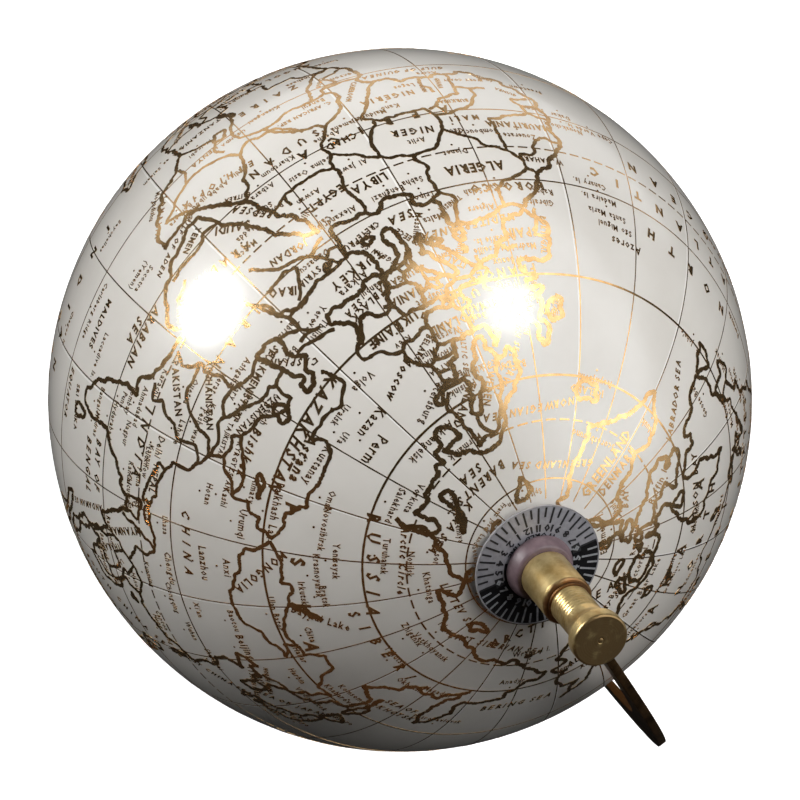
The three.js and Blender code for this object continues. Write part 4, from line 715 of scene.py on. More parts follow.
PRINT_TILT = Matrix.Rotation(math.radians(-1.62), 4, "X")  # the map's pole is a little off the axis
PRINT_TURN = Matrix.Rotation(math.radians(145.75), 4, "Z")
PRINT_ROTATION = np.array((POLAR @ PRINT_TILT @ PRINT_TURN).to_3x3())
PARALLELS = (-63, -48, -32, -16, 0.9, 16.5, 32, 48, 63, 78)  # degrees, as this map spaces them
GRID_HEIGHT, LINE_HEIGHT, TEXT_HEIGHT = 0.03 * MM, 0.05 * MM, 0.07 * MM
PRINT_DEPTH = 0.06 * MM  # how far each printed solid reaches down into the ball
MAP_EDGE = 81.0  # degrees: the meridians stop under the dial


def unit(lon, lat):
    lon, lat = np.radians(lon), np.radians(lat)
    return np.stack([np.cos(lat) * np.cos(lon), np.cos(lat) * np.sin(lon), np.sin(lat)], -1)


def normal(v):
    return v / np.linalg.norm(v, axis=-1, keepdims=True)


def outlines(text):
    for part in text.split(";"):
        points = np.array([[float(n) for n in pair.split(",")] for pair in part.split()])
        yield unit(points[:, 0], points[:, 1])


def wandering(points, rough, step, rng):
    """Fills in an outline by moving midpoints sideways, as a coast wanders, then softens it once."""
    closed = np.allclose(points[0], points[-1], atol=1e-9)
    line = [points[0]]
    for a, b in zip(points, points[1:]):
        stretch = [a, b]
        while BALL_R * np.linalg.norm(stretch[1] - stretch[0]) > step:
            finer = [stretch[0]]
            for p, q in zip(stretch, stretch[1:]):
                side = np.cross(p, q - p)
                finer += [normal(p + (q - p) / 2 + side * rough * rng.gauss(0, 1)), q]
            stretch = finer
        line += stretch[1:]
    line = np.array(line)
    quarter, rest = line[:-1] * 0.75 + line[1:] * 0.25, line[:-1] * 0.25 + line[1:] * 0.75
    soft = np.stack([quarter, rest], 1).reshape(-1, 3)
    soft = np.vstack([soft, soft[:1]]) if closed else np.vstack([line[:1], soft, line[-1:]])
    return normal(soft), closed


class Print:
    """Gathers the thin raised solids of one printed layer on the ball."""

    def __init__(self):
        self.vertices, self.faces, self.count = [], [], 0

    def add(self, vertices, faces):
        self.vertices.append(vertices)
        self.faces += [[i + self.count for i in face] for face in faces]
        self.count += len(vertices)

    def strip(self, line, width, closed, height, vary=0.0, rng=None):
        """A flat-topped strip along unit vectors on the ball."""
        if closed:
            line = line[:-1]
            ahead, behind = np.roll(line, -1, 0), np.roll(line, 1, 0)
        else:
            ahead, behind = np.vstack([line[1:], line[-1:]]), np.vstack([line[:1], line[:-1]])
        side = normal(np.cross(line, ahead - behind))
        half = np.full(len(line), width / 2)
        if vary:
            half *= np.array([1 + vary * rng.uniform(-1, 1) for _ in line])
        shift = side * (half / BALL_R)[:, None]
        left, right = normal(line + shift), normal(line - shift)
        low, high = BALL_R - PRINT_DEPTH, BALL_R + height
        rows = np.stack([left * low, left * high, right * high, right * low], 1)
        n = len(line)
        faces = []
        for i in range(n if closed else n - 1):
            j = (i + 1) % n
            faces += [[4 * i + k, 4 * i + (k + 1) % 4, 4 * j + (k + 1) % 4, 4 * j + k] for k in range(4)]
        if not closed:
            faces += [[3, 2, 1, 0], [4 * n - 4, 4 * n - 3, 4 * n - 2, 4 * n - 1]]
        self.add(rows.reshape(-1, 3), faces)

    def dot(self, centre, radius, height):
        corners = 10
        east = normal(np.cross((0, 0, 1), centre))
        north = np.cross(centre, east)
        turn = np.linspace(0, 2 * np.pi, corners, endpoint=False)
        offset = np.outer(np.cos(turn), east) + np.outer(np.sin(turn), north)
        ring = normal(centre + offset * radius / BALL_R)
        low, high = ring * (BALL_R - PRINT_DEPTH), ring * (BALL_R + height)
        sides = [[i, (i + 1) % corners, corners + (i + 1) % corners, corners + i] for i in range(corners)]
        faces = sides + [list(range(corners))[::-1], list(range(corners, 2 * corners))]
        self.add(np.vstack([low, high]), faces)

    def finish(self, name, material):
        points = np.vstack(self.vertices) @ PRINT_ROTATION.T + np.array(CENTRE)
        piece(name, points, self.faces, material, "globe", "printed_ball", 0)


# ------------------------------------------------------------------ lettering

GLYPHS = {}
CAP_HEIGHT = 0.69  # of a capital in the built-in font, at size 1
LETTER_GAP, WORD_GAP = 0.14, 0.42


def glyph(char, weight, slant):
    """A letter of the built-in font as a closed solid, capitals 1 tall. Returns points, faces, width."""
    key = (char, weight, slant)
    if key in GLYPHS:
        return GLYPHS[key]
    curve = bpy.data.curves.new("letter", "FONT")
    curve.body = char
    curve.resolution_u = 1
    curve.extrude = 0.5
    curve.offset = weight
    curve.shear = 0.3 if slant else 0.0
    holder = bpy.data.objects.new("letter", curve)
    bpy.context.scene.collection.objects.link(holder)
    graph = bpy.context.evaluated_depsgraph_get()
    mesh = bpy.data.meshes.new_from_object(holder.evaluated_get(graph))
    shape = bmesh.new()
    shape.from_mesh(mesh)
    bmesh.ops.remove_doubles(shape, verts=shape.verts, dist=1e-4)
    points = np.array([tuple(v.co) for v in shape.verts]) / CAP_HEIGHT
    faces = [[v.index for v in f.verts] for f in shape.faces]
    shape.free()
    bpy.data.objects.remove(holder)
    bpy.data.curves.remove(curve)
    bpy.data.meshes.remove(mesh)
    left, right = points[:, 0].min(), points[:, 0].max()
    points[:, 0] -= left
    points[:, 2] = np.sign(points[:, 2])
    GLYPHS[key] = (points, faces, right - left)
    return GLYPHS[key]


def lettering(layer, text, lon, lat, size, angle, weight, slant, gap, squeeze):
    """Writes along a great circle through a place, tops to the north before the angle is turned."""
    placed, x = [], 0.0
    for char in text:
        if char == " ":
            x += WORD_GAP + gap
            continue
        points, faces, width = glyph(char, weight, slant)
        placed.append((points, faces, x))
        x += width * squeeze + gap
    middle = (x - gap) / 2
    centre = unit(lon, lat)
    east = normal(np.cross((0, 0, 1), centre))
    north = np.cross(centre, east)
    turn = math.radians(angle)
    along = math.cos(turn) * east + math.sin(turn) * north
    up = math.cos(turn) * north - math.sin(turn) * east
    for points, faces, start in placed:
        across = (points[:, 0] * squeeze + start - middle) * size / BALL_R
        rise = (points[:, 1] - 0.5) * size / BALL_R
        spot = np.outer(np.cos(across), centre) + np.outer(np.sin(across), along)
        spot = spot * np.cos(rise)[:, None] + np.outer(np.sin(rise), up)
        height = np.where(points[:, 2] > 0, TEXT_HEIGHT, -PRINT_DEPTH)
        layer.add(spot * (BALL_R + height)[:, None], faces)


MERIDIAN_LINE, PARALLEL_LINE, STRONG_LINE = 0.36 * MM, 0.42 * MM, 0.62 * MM
COAST_LINE, BORDER_LINE = 1.25 * MM, 1.0 * MM
STRONG_PARALLELS = (48, 63)
DASHED = (-69.4, -25.4, 25.4, 69.4)  # tropics and polar circles
DASH, DASH_GAP = 2.8 * MM, 1.1 * MM
DASH_LINE, SEAM_LINE = 0.5 * MM, 0.4 * MM
SEAM_SHIFT = 0.35  # degrees from the meridian that it runs beside
DOT_R, DOT_DROP = 0.32 * MM, 1.6  # of a place: its radius, and degrees below the name


def circle(lat, start=0.0, end=360.0):
    """Points along a parallel, about 1.5 degrees apart."""
    lon = np.linspace(start, end, max(2, int(abs(end - start) / 1.5)) + 1)
    return unit(lon, np.full_like(lon, lat))


def graticule():
    """Meridians, parallels, the dashed tropics and polar circles, and the seams between the gores."""
    rng = random.Random(3)
    grid = Print()
    lats = np.linspace(-MAP_EDGE, MAP_EDGE, 109)
    for lon in range(-180, 180, 15):
        grid.strip(unit(np.full_like(lats, lon), lats), MERIDIAN_LINE, False, GRID_HEIGHT, 0.1, rng)
    for lat in PARALLELS:
        width = STRONG_LINE if lat in STRONG_PARALLELS else PARALLEL_LINE
        grid.strip(circle(lat), width, True, GRID_HEIGHT, 0.1, rng)
    for lat in DASHED:
        around = 2 * math.pi * BALL_R * math.cos(math.radians(lat))
        count = round(around / (DASH + DASH_GAP))
        share = 360 / count
        for i in range(count):
            start = i * share
            end = start + share * DASH / (DASH + DASH_GAP)
            grid.strip(circle(lat, start, end), DASH_LINE, False, LINE_HEIGHT)
    grid.finish("map_graticule", FOIL)
    seams = Print()
    for lon in range(-165, 180, 30):
        line = unit(np.full_like(lats, lon + SEAM_SHIFT), lats)
        seams.strip(line, SEAM_LINE, False, GRID_HEIGHT / 2)
    seams.finish("map_seams", SEAM)


def land():
    rng = random.Random(7)
    coasts, borders = Print(), Print()
    for outline in outlines(COASTS):
        line, closed = wandering(outline, 0.13, 1.3 * MM, rng)
        coasts.strip(line, COAST_LINE, closed, LINE_HEIGHT, 0.25, rng)
    for outline in outlines(BORDERS):
        line, closed = wandering(outline, 0.09, 1.5 * MM, rng)
        borders.strip(line, BORDER_LINE, closed, LINE_HEIGHT * 0.9, 0.25, rng)
    coasts.finish("map_coasts", FOIL)
    borders.finish("map_borders", FOIL)


def entries(table):
    for entry in table.replace("\n", " ").split(";"):
        text, numbers = entry.strip().split("@")
        yield text, [float(n) for n in numbers.split(",")]


def names():
    large, small = Print(), Print()
    for table, layer, height, weight, slant, grow, squeeze in (
        (COUNTRIES, large, 1.9, 0.04, False, 1.18, 0.8), (REGIONS, large, 2.4, 0.042, True, 1.15, 0.85),
        (SPACED, large, 2.6, 0.05, False, 1.12, 0.9), (WATERS, large, 1.7, 0.042, True, 1.15, 0.84),
        (PLACES, small, 1.5, 0.024, False, 1.22, 0.76),
    ):
        for text, numbers in entries(table):
            lon, lat, angle, size, gap = (numbers + [0, height, LETTER_GAP][len(numbers) - 2:])
            lettering(layer, text, lon, lat, size * grow * MM, angle, weight, slant, gap, squeeze)
            if table is PLACES:
                layer.dot(unit(lon, lat - DOT_DROP * size / height), DOT_R, TEXT_HEIGHT)
    large.finish("map_names", FOIL)
    small.finish("map_places", FOIL)


graticule()
land()
names()

# ------------------------------------------------------------------ the hour dial

HOURS = 12
NOON_AT = 164.0  # degrees round the axis of the dial's first 12
HOUR_TICK, HALF_HOUR_TICK = 0.121 * BALL_R, 0.138 * BALL_R  # radii where the marks start
TICK_WIDTH = 0.54 * MM
NUMBER_AT, NUMBER_SIZE = 0.1075 * BALL_R, 1.85 * MM
TITLE_AT, TITLE_SIZE = 0.0855 * BALL_R, 1.5 * MM


def dial_solids(name, solids, material):
    """Thin printed solids on the dial, from (points, faces) in the dial's plane."""
    vertices, faces = [], []
    for points, own in solids:
        faces += [[i + len(vertices) for i in face] for face in own]
        vertices += [POLAR @ Vector(p) for p in points]
    return piece(name, vertices, faces, material, "dial", "dial_card", 0)


def sector(inner, outer, start, end, low, high, step=2.0):
    """A slab between two radii and two angles in degrees."""
    count = max(1, math.ceil(abs(end - start) / step))
    points = []
    for i in range(count + 1):
        turn = math.radians(start + (end - start) * i / count)
        for r, z in ((inner, low), (outer, low), (outer, high), (inner, high)):
            points.append((r * math.cos(turn), r * math.sin(turn), z))
    faces = [[4 * i + k, 4 * i + (k + 1) % 4, 4 * i + 4 + (k + 1) % 4, 4 * i + 4 + k]
             for i in range(count) for k in range(4)]
    return points, faces + [[3, 2, 1, 0], [4 * count + k for k in range(4)]]


def tick(turn, inner, outer, width, low, high):
    """A straight mark along a radius."""
    spread_out = math.degrees(width / 2 / outer)
    spread_in = math.degrees(width / 2 / inner)
    points, corners = [], ((inner, -spread_in), (outer, -spread_out), (outer, spread_out), (inner, spread_in))
    for z in (low, high):
        for r, side in corners:
            a = math.radians(turn + side)
            points.append((r * math.cos(a), r * math.sin(a), z))
    return points, [[3, 2, 1, 0], [4, 5, 6, 7]] + [[k, (k + 1) % 4, 4 + (k + 1) % 4, 4 + k] for k in range(4)]


def dial_text(text, turn, radius, size, low, high, gap=0.16, stretch=1.0):
    """Characters round the dial with their tops towards its centre."""
    letters, x = [], 0.0
    for char in text:
        if char == " ":
            x += WORD_GAP + gap
            continue
        points, faces, width = glyph(char, 0.034, False)
        letters.append((points, faces, x))
        x += width * stretch + gap
    middle = (x - gap) / 2
    for points, faces, start in letters:
        placed = []
        for px, py, pz in points:
            r = radius - (py - 0.5) * size
            a = math.radians(turn) + (px * stretch + start - middle) * size / radius
            placed.append((r * math.cos(a), r * math.sin(a), high if pz > 0 else low))
        yield placed, faces


def dial():
    """A stamped disc, half silver and half black, with two rounds of twelve hours."""
    disc = [(PIN_HOLE, DIAL_LOW), (DIAL_R, DIAL_LOW), (DIAL_R, DIAL_TOP), (PIN_HOLE, DIAL_TOP)]
    turned("hour_dial_disc", disc, DIAL_GREY, "dial", "dial_card", 0.16 * MM, 192, node="hour_dial")
    start = NOON_AT - 90
    bed, ink, mark = DIAL_TOP - 0.1 * MM, DIAL_TOP + 0.03 * MM, DIAL_TOP + 0.06 * MM
    edge, tick_end = DIAL_R - 0.35 * MM, DIAL_R - 0.45 * MM
    night = [sector(3.0 * MM, edge, start + 180, start + 360, bed, ink)]
    dial_solids("dial_night_half", night, DIAL_BLACK)
    dark, pale = [], []
    for hour in range(2 * HOURS):
        turn = start + 15 * hour
        marks = dark if hour <= HOURS else pale
        marks.append(tick(turn, HOUR_TICK, tick_end, TICK_WIDTH, bed, mark))
        half_marks = dark if hour < HOURS else pale
        half_marks.append(tick(turn + 7.5, HALF_HOUR_TICK, tick_end, TICK_WIDTH, bed, mark))
        number = str((hour + 5) % HOURS + 1)
        on_border = hour % HOURS == 0
        marks = pale if on_border else marks
        marks += list(dial_text(number, turn, NUMBER_AT, NUMBER_SIZE, bed, mark + 0.02 * MM, stretch=1.15))
        if on_border:
            inner, outer = 0.0975 * BALL_R, 0.1205 * BALL_R
            dark.append(sector(inner, outer, turn - 6.5, turn + 6.5, bed, ink + 0.01 * MM))
    dark += list(dial_text("WORLD TIME", NOON_AT, TITLE_AT, TITLE_SIZE, bed, mark, gap=0.1))
    dark.append(sector(0.0865 * BALL_R, 0.0935 * BALL_R, NOON_AT + 60, start + 180, bed, mark))
    dial_solids("dial_dark_marks", dark, DIAL_INK)
    dial_solids("dial_pale_marks", pale, DIAL_PALE)
    # The rim ring takes the darker grey of painted shade.
    rim_in, rim_out = DIAL_R - 0.22 * MM, DIAL_R + 0.02 * MM
    rim_low, rim_high = DIAL_TOP - 0.3 * MM, DIAL_TOP + 0.05 * MM
    rim = [(rim_in, rim_low), (rim_out, rim_low), (rim_out, rim_high), (rim_in, rim_high)]
    vertices, faces = lathe(rounded(rim, 0.1 * MM), 192, POLAR)
    piece("dial_rim", vertices, faces, DIAL_RIM_PAINTED_SHADE, "dial", "dial_card")
    low, high, radius = reach("dial_hub")
    hub = [(PIN_HOLE, low), (radius, low), (radius, high), (PIN_HOLE, high)]
    turned("dial_hub_bush", hub, NYLON, "dial", "nylon", node="dial_hub")


# ------------------------------------------------------------------ fittings on the axis


def spacers():
    """Mauve spacers: a flared one under the north sleeve and a plain one at the south pole."""
    low, high = SPACER_LOW, SPACER_TOP
    rise = high - low
    side = [(SPACER_R - 0.5 * MM, low), (SPACER_R, low + 0.12 * rise), (SPACER_R, low + 0.3 * rise),
            (SPACER_R - 0.55 * MM, low + 0.62 * rise), (SPACER_R - 1.15 * MM, low + 0.92 * rise),
            (SPACER_R - 1.6 * MM, high)]
    outline = [(PIN_HOLE, low)] + side + [(PIN_HOLE, high)]
    turned("north_spacer_bush", outline, MAUVE, "stand", "mauve_plastic", 0.35 * MM, 144, node="north_spacer")
    low, high, radius = reach("south_spacer")
    outline = [(PIN_HOLE, high), (radius - 0.2 * MM, high), (radius, high - 0.4 * MM),
               (radius - 0.6 * MM, low), (PIN_HOLE, low)]
    turned("south_spacer_bush", outline, MAUVE, "stand", "mauve_plastic", 0.2 * MM, 96, node="south_spacer")


def cut_box(vertices, faces, low, high, name):
    """Takes a box out of a closed solid by a boolean. Returns vertices and faces of what is left."""
    mesh = bpy.data.meshes.new(name + "_whole")
    mesh.from_pydata([tuple(v) for v in vertices], [], faces)
    whole = bpy.data.objects.new(name + "_whole", mesh)
    corners = [(x, y, z) for z in (low[2], high[2]) for y in (low[1], high[1]) for x in (low[0], high[0])]
    sides = [(0, 2, 3, 1), (4, 5, 7, 6), (0, 1, 5, 4), (2, 6, 7, 3), (0, 4, 6, 2), (1, 3, 7, 5)]
    tool_mesh = bpy.data.meshes.new(name + "_tool")
    tool_mesh.from_pydata(corners, [], sides)
    tool = bpy.data.objects.new(name + "_tool", tool_mesh)
    for obj in (whole, tool):
        bpy.context.scene.collection.objects.link(obj)
    modifier = whole.modifiers.new("cut", "BOOLEAN")
    modifier.operation = "DIFFERENCE"
    modifier.solver = "EXACT"
    modifier.object = tool
    graph = bpy.context.evaluated_depsgraph_get()
    result = bpy.data.meshes.new_from_object(whole.evaluated_get(graph))
    points = [v.co.copy() for v in result.vertices]
    polygons = [list(p.vertices) for p in result.polygons]
    for obj in (whole, tool):
        data = obj.data
        bpy.data.objects.remove(obj)
        bpy.data.meshes.remove(data)
    bpy.data.meshes.remove(result)
    return points, polygons


def sleeve(name, node, flip):
    """A turned sleeve with eased edges and one fine tool ring, slotted for the end of the arc."""
    low, high, radius = BOSS_LOW, BOSS_TOP, BOSS_R
    slot_half, slot_start, slot_end, slot_height = 1.32 * MM, 4.6 * MM, 20 * MM, 1.6 * high
    profile = [(PIN_HOLE, low), (radius - 0.3 * MM, low), (radius, low + 0.35 * MM)]
    profile += [(radius, high - 1.3 * MM), (radius - 0.12 * MM, high - 1.15 * MM), (radius, high - 1.0 * MM),
                (radius, high - 0.45 * MM), (radius - 0.4 * MM, high), (PIN_HOLE, high)]
    if flip:
        profile = flipped(profile)
    vertices, faces = lathe(rounded(profile, 0.1 * MM, 3), 144)
    near, far = (slot_start, -slot_half, -slot_height), (slot_end, slot_half, slot_height)
    points, polygons = cut_box(vertices, faces, near, far, name)
    obj = piece(name, [POLAR @ p for p in points], polygons, BRASS, "stand", "turned_brass")
    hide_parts(node)


def knob():
    """Pin, ringed neck, flared head, and an end face with lathe marks and a small pip."""
    neck = 5.2 * MM
    neck_start, flare_start, flare_end = BOSS_TOP + 0.85 * MM, 131.5 * MM, 137.2 * MM
    outline = [(0, KNOB_LOW), (PIN_R - 0.6 * MM, KNOB_LOW), (PIN_R, KNOB_LOW + 0.6 * MM), (PIN_R, neck_start),
               (neck - 0.35 * MM, neck_start), (neck, neck_start + 0.35 * MM)]
    count, groove = 8, 0.16 * MM
    pitch = (flare_start - neck_start - 1.0 * MM) / count
    for i in range(count):
        at = neck_start + 0.7 * MM + pitch * (i + 0.5)
        outline += [(neck, at - 0.3 * pitch), (neck - groove, at), (neck, at + 0.3 * pitch)]
    flare_r = HEAD_R - 0.1 * MM
    for i in range(13):
        t = i / 12
        outline.append((neck + (flare_r - neck) * t ** 2, flare_start + (flare_end - flare_start) * t))
    face = KNOB_TOP - 0.07 * MM
    outline += [(HEAD_R, flare_end + 0.7 * MM), (HEAD_R, KNOB_TOP - 0.75 * MM),
                (HEAD_R - 0.16 * MM, KNOB_TOP - 0.3 * MM), (HEAD_R - 0.5 * MM, face)]
    rings, ring_depth = 8, 0.014 * MM
    for i in range(rings):
        r = HEAD_R - 0.9 * MM - (HEAD_R - 2.2 * MM) * i / rings
        outline += [(r, face), (r - 0.12 * MM, face - ring_depth), (r - 0.24 * MM, face)]
    outline += [(0.85 * MM, face), (0.72 * MM, face - 0.09 * MM), (0.5 * MM, face + 0.03 * MM), (0, KNOB_TOP)]
    turned("north_knob_turned", outline, KNOB_BRASS, "stand", "turned_brass", 0.09 * MM, 144,
           node="north_knob")


def lock_rings():
    """The dark ring between sleeve and knob, and the plated one under the south screw."""
    for end, material, slot in (("north", GROOVE, "aged_brass"), ("south", STEEL, "steel")):
        node = end + "_lock_ring"
        south = end == "south"
        low, high, radius = reach(node)
        if south:
            low, high = -high, -low
        middle = (low + high) / 2
        outline = [(PIN_HOLE, low), (radius - 0.1 * MM, low), (radius, middle), (radius - 0.1 * MM, high),
                   (PIN_HOLE, high)]
        outline = flipped(outline) if south else outline
        turned(node + "_turned", outline, material, "stand", slot, 0.08 * MM, 96, node=node)


def grommets():
    """Nylon bushes in both poles, and the board ring inside the ball's joint."""
    bore, collar, flange = 2.68 * MM, 4.95 * MM, 8 * MM
    low, shoulder, top = 93.6 * MM, 97 * MM, BALL_R + 0.1 * MM
    for end in ("north", "south"):
        node = end + "_grommet"
        outline = [(bore, low), (flange, low), (flange, shoulder), (collar, shoulder), (collar, top),
                   (bore, top)]
        outline = flipped(outline) if end == "south" else outline
        turned(node + "_moulded", outline, NYLON, "globe", "nylon", 0.15 * MM, 96, node=node)
    inner, outer, half = 94.6 * MM, 96.7 * MM, 8 * MM
    band = [(inner, -half), (outer, -half), (outer, half), (inner, half)]
    turned("equator_band", band, BOARD, "globe", "bare_board", 0.3 * MM, 128, node="equator_ring")


def south_pivot():
    """Domed, slotted screw that carries the south end of the ball."""
    pin_end, start, head = 89 * MM, BOSS_TOP + 0.8 * MM, 5.2 * MM
    dome_low, dome = start + 0.6 * MM, 0.62 * head
    outline = [(0, pin_end), (PIN_R - 0.6 * MM, pin_end), (PIN_R, 89.6 * MM), (PIN_R, start),
               (head - 0.1 * MM, start)]
    for i in range(13):
        turn = math.radians(90 * i / 12)
        outline.append((head * math.cos(turn), dome_low + dome * math.sin(turn)))
    vertices, faces = lathe(rounded(flipped(outline), 0.12 * MM, 3), 96)
    bottom = -(dome_low + dome)
    slot_half, slot_depth, past = 0.55 * MM, 0.8 * MM, 8 * MM
    near, far = (-past, -slot_half, bottom - 3 * MM), (past, slot_half, bottom + slot_depth)
    points, polygons = cut_box(vertices, faces, near, far, "pivot")
    obj = piece("south_pivot_turned", [POLAR @ p for p in points], polygons, BRASS, "stand", "turned_brass")
    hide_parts("south_pivot_screw")


def eased(body, sharper_than, offset, segments):
    """Bevels the sharp edges of a bmesh, then frees it. Returns points and faces."""
    bmesh.ops.remove_doubles(body, verts=body.verts, dist=1e-6)
    bmesh.ops.dissolve_limit(body, angle_limit=math.radians(0.5), verts=body.verts, edges=body.edges)
    limit = math.radians(sharper_than)
    sharp = [e for e in body.edges if len(e.link_faces) == 2 and e.calc_face_angle(0) > limit]
    bmesh.ops.bevel(body, geom=sharp, offset=offset, segments=segments, profile=0.5, affect="EDGES",
                    clamp_overlap=True)
    bmesh.ops.triangulate(body, faces=body.faces)
    body.verts.ensure_lookup_table()
    points = [v.co.copy() for v in body.verts]
    faces = [[v.index for v in f.verts] for f in body.faces]
    body.free()
    return points, faces


def arc():
    """The flat strip with eased edges, its two tangs and its two screw holes."""
    node = frame["nodes"]["meridian_arc"]
    body = bmesh.new()
    for vertex in node.data.vertices:
        body.verts.new(TO_POLAR @ (node.matrix_world @ vertex.co))
    body.verts.ensure_lookup_table()
    for polygon in node.data.polygons:
        body.faces.new([body.verts[i] for i in polygon.vertices])
    points, faces = eased(body, 50, 0.32 * MM, 3)
    points = [POLAR @ p for p in points]
    obj = piece("meridian_arc_strip", points, faces, ARC_BRASS, "stand", "aged_brass", 40)
    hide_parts("meridian_arc")


# ------------------------------------------------------------------ the stand

UPRIGHT = Matrix.Identity(4)


def base():
    """Felt foot, turned wooden disc with beads and an ogee, and the weight and fixings inside it."""
    foot_low, foot_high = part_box("base_disc")
    radius, low, top = foot_high[0], foot_low[2], foot_high[2]
    felt = [(0, 0), (radius - 2.3 * MM, 0), (radius - 2 * MM, 0.5 * MM), (radius - 2 * MM, low), (0, low)]
    turned("base_felt_pad", felt, FELT, "stand", "felt", 0.3 * MM, 160, UPRIGHT, node="base_felt")
    outline = [(radius, low)]
    bead, bead_middle = 3 * MM, 4.5 * MM
    for i in range(13):
        turn = math.radians(90 * i / 12)
        outline.append((radius - bead + bead * math.cos(turn), bead_middle + bead * math.sin(turn)))
    outline += [(55.8 * MM, 7.5 * MM), (55.2 * MM, 7.8 * MM)]
    for i in range(33):
        t = i / 32
        rise = (1 - math.cos(math.pi * t)) / 2
        outline.append(((54.5 - 38.5 * t) * MM, (8.6 + 13.6 * rise ** 1.15) * MM))
    recess, recess_top = 9 * MM, 8 * MM
    cavity_in, cavity_out, cavity_top = 18 * MM, 50 * MM, 9 * MM
    outline += [(15.2 * MM, 22.4 * MM), (15.2 * MM, 24.6 * MM), (14.6 * MM, top), (ROD_HOLE, top),
                (ROD_HOLE, recess_top), (recess, recess_top), (recess, low), (cavity_in, low),
                (cavity_in, cavity_top), (cavity_out, cavity_top), (cavity_out, low)]
    turned("base_disc_turned", outline, WOOD, "stand", "dark_wood", 0.35 * MM, 192, UPRIGHT, node="base_disc")
    inner, outer, bottom, top = 18.25 * MM, 49.75 * MM, 1.6 * MM, 8.7 * MM
    weight = [(inner, bottom), (outer, bottom), (outer, top), (inner, top)]
    turned("base_weight_cast", weight, IRON, "stand", "iron", 0.8 * MM, 128, UPRIGHT, node="base_weight")
    outer, bottom, top = 8.4 * MM, 6.9 * MM, 7.9 * MM
    washer = [(ROD_HOLE, bottom), (outer, bottom), (outer, top), (ROD_HOLE, top)]
    turned("base_washer_pressed", washer, STEEL, "stand", "steel", 0.2 * MM, 96, UPRIGHT, node="base_washer")
    hex_nut("base_nut_hex", "base_nut", UPRIGHT, 3.65 * MM, 5.77 * MM, 1.9 * MM, 6.8 * MM, STEEL, "steel")
    rod_r, root_r, rod_end, thread_start, pitch = 3.0 * MM, 2.62 * MM, 2.6 * MM, 2.6 * MM, 1.0 * MM
    rod = [(0, 2.2 * MM), (rod_end, 2.2 * MM)]
    for i in range(12):
        at = thread_start + pitch * i
        rod += [(rod_r, at), (rod_r, at + 0.2 * pitch), (root_r, at + 0.6 * pitch)]
    rod += [(rod_r, 15 * MM), (rod_r, 43.6 * MM), (rod_end, 44 * MM), (0, 44 * MM)]
    turned("tie_rod_threaded", rod, STEEL, "stand", "steel", 0.06 * MM, 64, UPRIGHT, node="tie_rod")


def hex_nut(name, node, matrix, bore, corner, low, high, material, slot, dome=False):
    """A hexagonal nut with turned chamfers, lofted from rings that blend a circle into a hexagon."""
    segments = 72
    rise = high - low
    across = corner * math.cos(math.pi / 6)
    eased = across * 0.97
    vertices, rings = [], []

    def add_ring(size, z, hexagonal):
        rings.append(len(vertices))
        for i in range(segments):
            turn = 2 * math.pi * i / segments
            flat = across / math.cos((turn + math.pi / 6) % (math.pi / 3) - math.pi / 6)
            r = min(size, flat) if hexagonal else size
            vertices.append(matrix @ Vector((r * math.cos(turn), r * math.sin(turn), z)))

    add_ring(bore, low, False)
    add_ring(eased, low, True)
    add_ring(corner, low + 0.12 * rise, True)
    if dome:
        add_ring(corner, low + 0.5 * rise, True)
        add_ring(eased, low + 0.56 * rise, False)
        for i in range(1, 9):
            turn = math.radians(90 * i / 9)
            add_ring(eased * math.cos(turn), low + (0.56 + 0.44 * math.sin(turn)) * rise, False)
        cap = [rings[-1] + i for i in range(segments)]
        add_ring(bore, low + 0.66 * rise, False)
        roof = [rings[-1] + i for i in range(segments)][::-1]
        faces = [cap, roof]
        chain = rings[:-1]
        pairs = list(zip(chain, chain[1:])) + [(rings[-1], rings[0])]
    else:
        add_ring(corner, low + 0.88 * rise, True)
        add_ring(eased, high, True)
        add_ring(bore, high, False)
        faces = []
        pairs = list(zip(rings, rings[1:] + rings[:1]))
    for a, b in pairs:
        faces += [[a + i, a + (i + 1) % segments, b + (i + 1) % segments, b + i] for i in range(segments)]
    obj = piece(name, vertices, faces, material, "stand", slot)
    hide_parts(node)


def stem():
    """The brass bead under the column, and the column with its waist and top collar."""
    low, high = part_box("stem_ferrule")[0][2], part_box("stem_ferrule")[1][2]
    middle, bulge = (low + high) / 2, (high - low) / 2
    bead = [(ROD_HOLE, low)]
    for i in range(17):
        turn = math.radians(-90 + 180 * i / 16)
        bead.append((11.6 * MM + bulge * math.cos(turn), middle + bulge * math.sin(turn)))
    bead.append((ROD_HOLE, high))
    turned("stem_ferrule_bead", bead, STAND_BRASS, "stand", "turned_brass", 0.05 * MM, 144, UPRIGHT,
           node="stem_ferrule")
    low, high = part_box("stem_column")[0][2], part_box("stem_column")[1][2]
    foot_r, taper = 10.4 * MM, 4.6 * MM
    outline = [(ROD_HOLE, low), (foot_r, low)]
    for i in range(25):
        t = i / 24
        r = foot_r - taper * math.sin(math.pi * t * 0.62)
        outline.append((r, low + 0.6 * MM + (high - low - 1.2 * MM) * t))
    collar = outline[-1][0] + 0.8 * MM
    outline += [(collar, high - 0.5 * MM), (collar, high), (ROD_HOLE, high)]
    turned("stem_column_turned", outline, STAND_BRASS, "stand", "turned_brass", 0.2 * MM, 144, UPRIGHT,
           node="stem_column")


def saddle():
    """The forked head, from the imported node, with its edges eased."""
    node = frame["nodes"]["arc_saddle"]
    body = bmesh.new()
    body.from_mesh(node.data)
    body.transform(node.matrix_world)
    points, faces = eased(body, 30, 0.22 * MM, 2)
    obj = piece("arc_saddle_milled", points, faces, STAND_BRASS, "stand", "turned_brass", 30)
    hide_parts("arc_saddle")


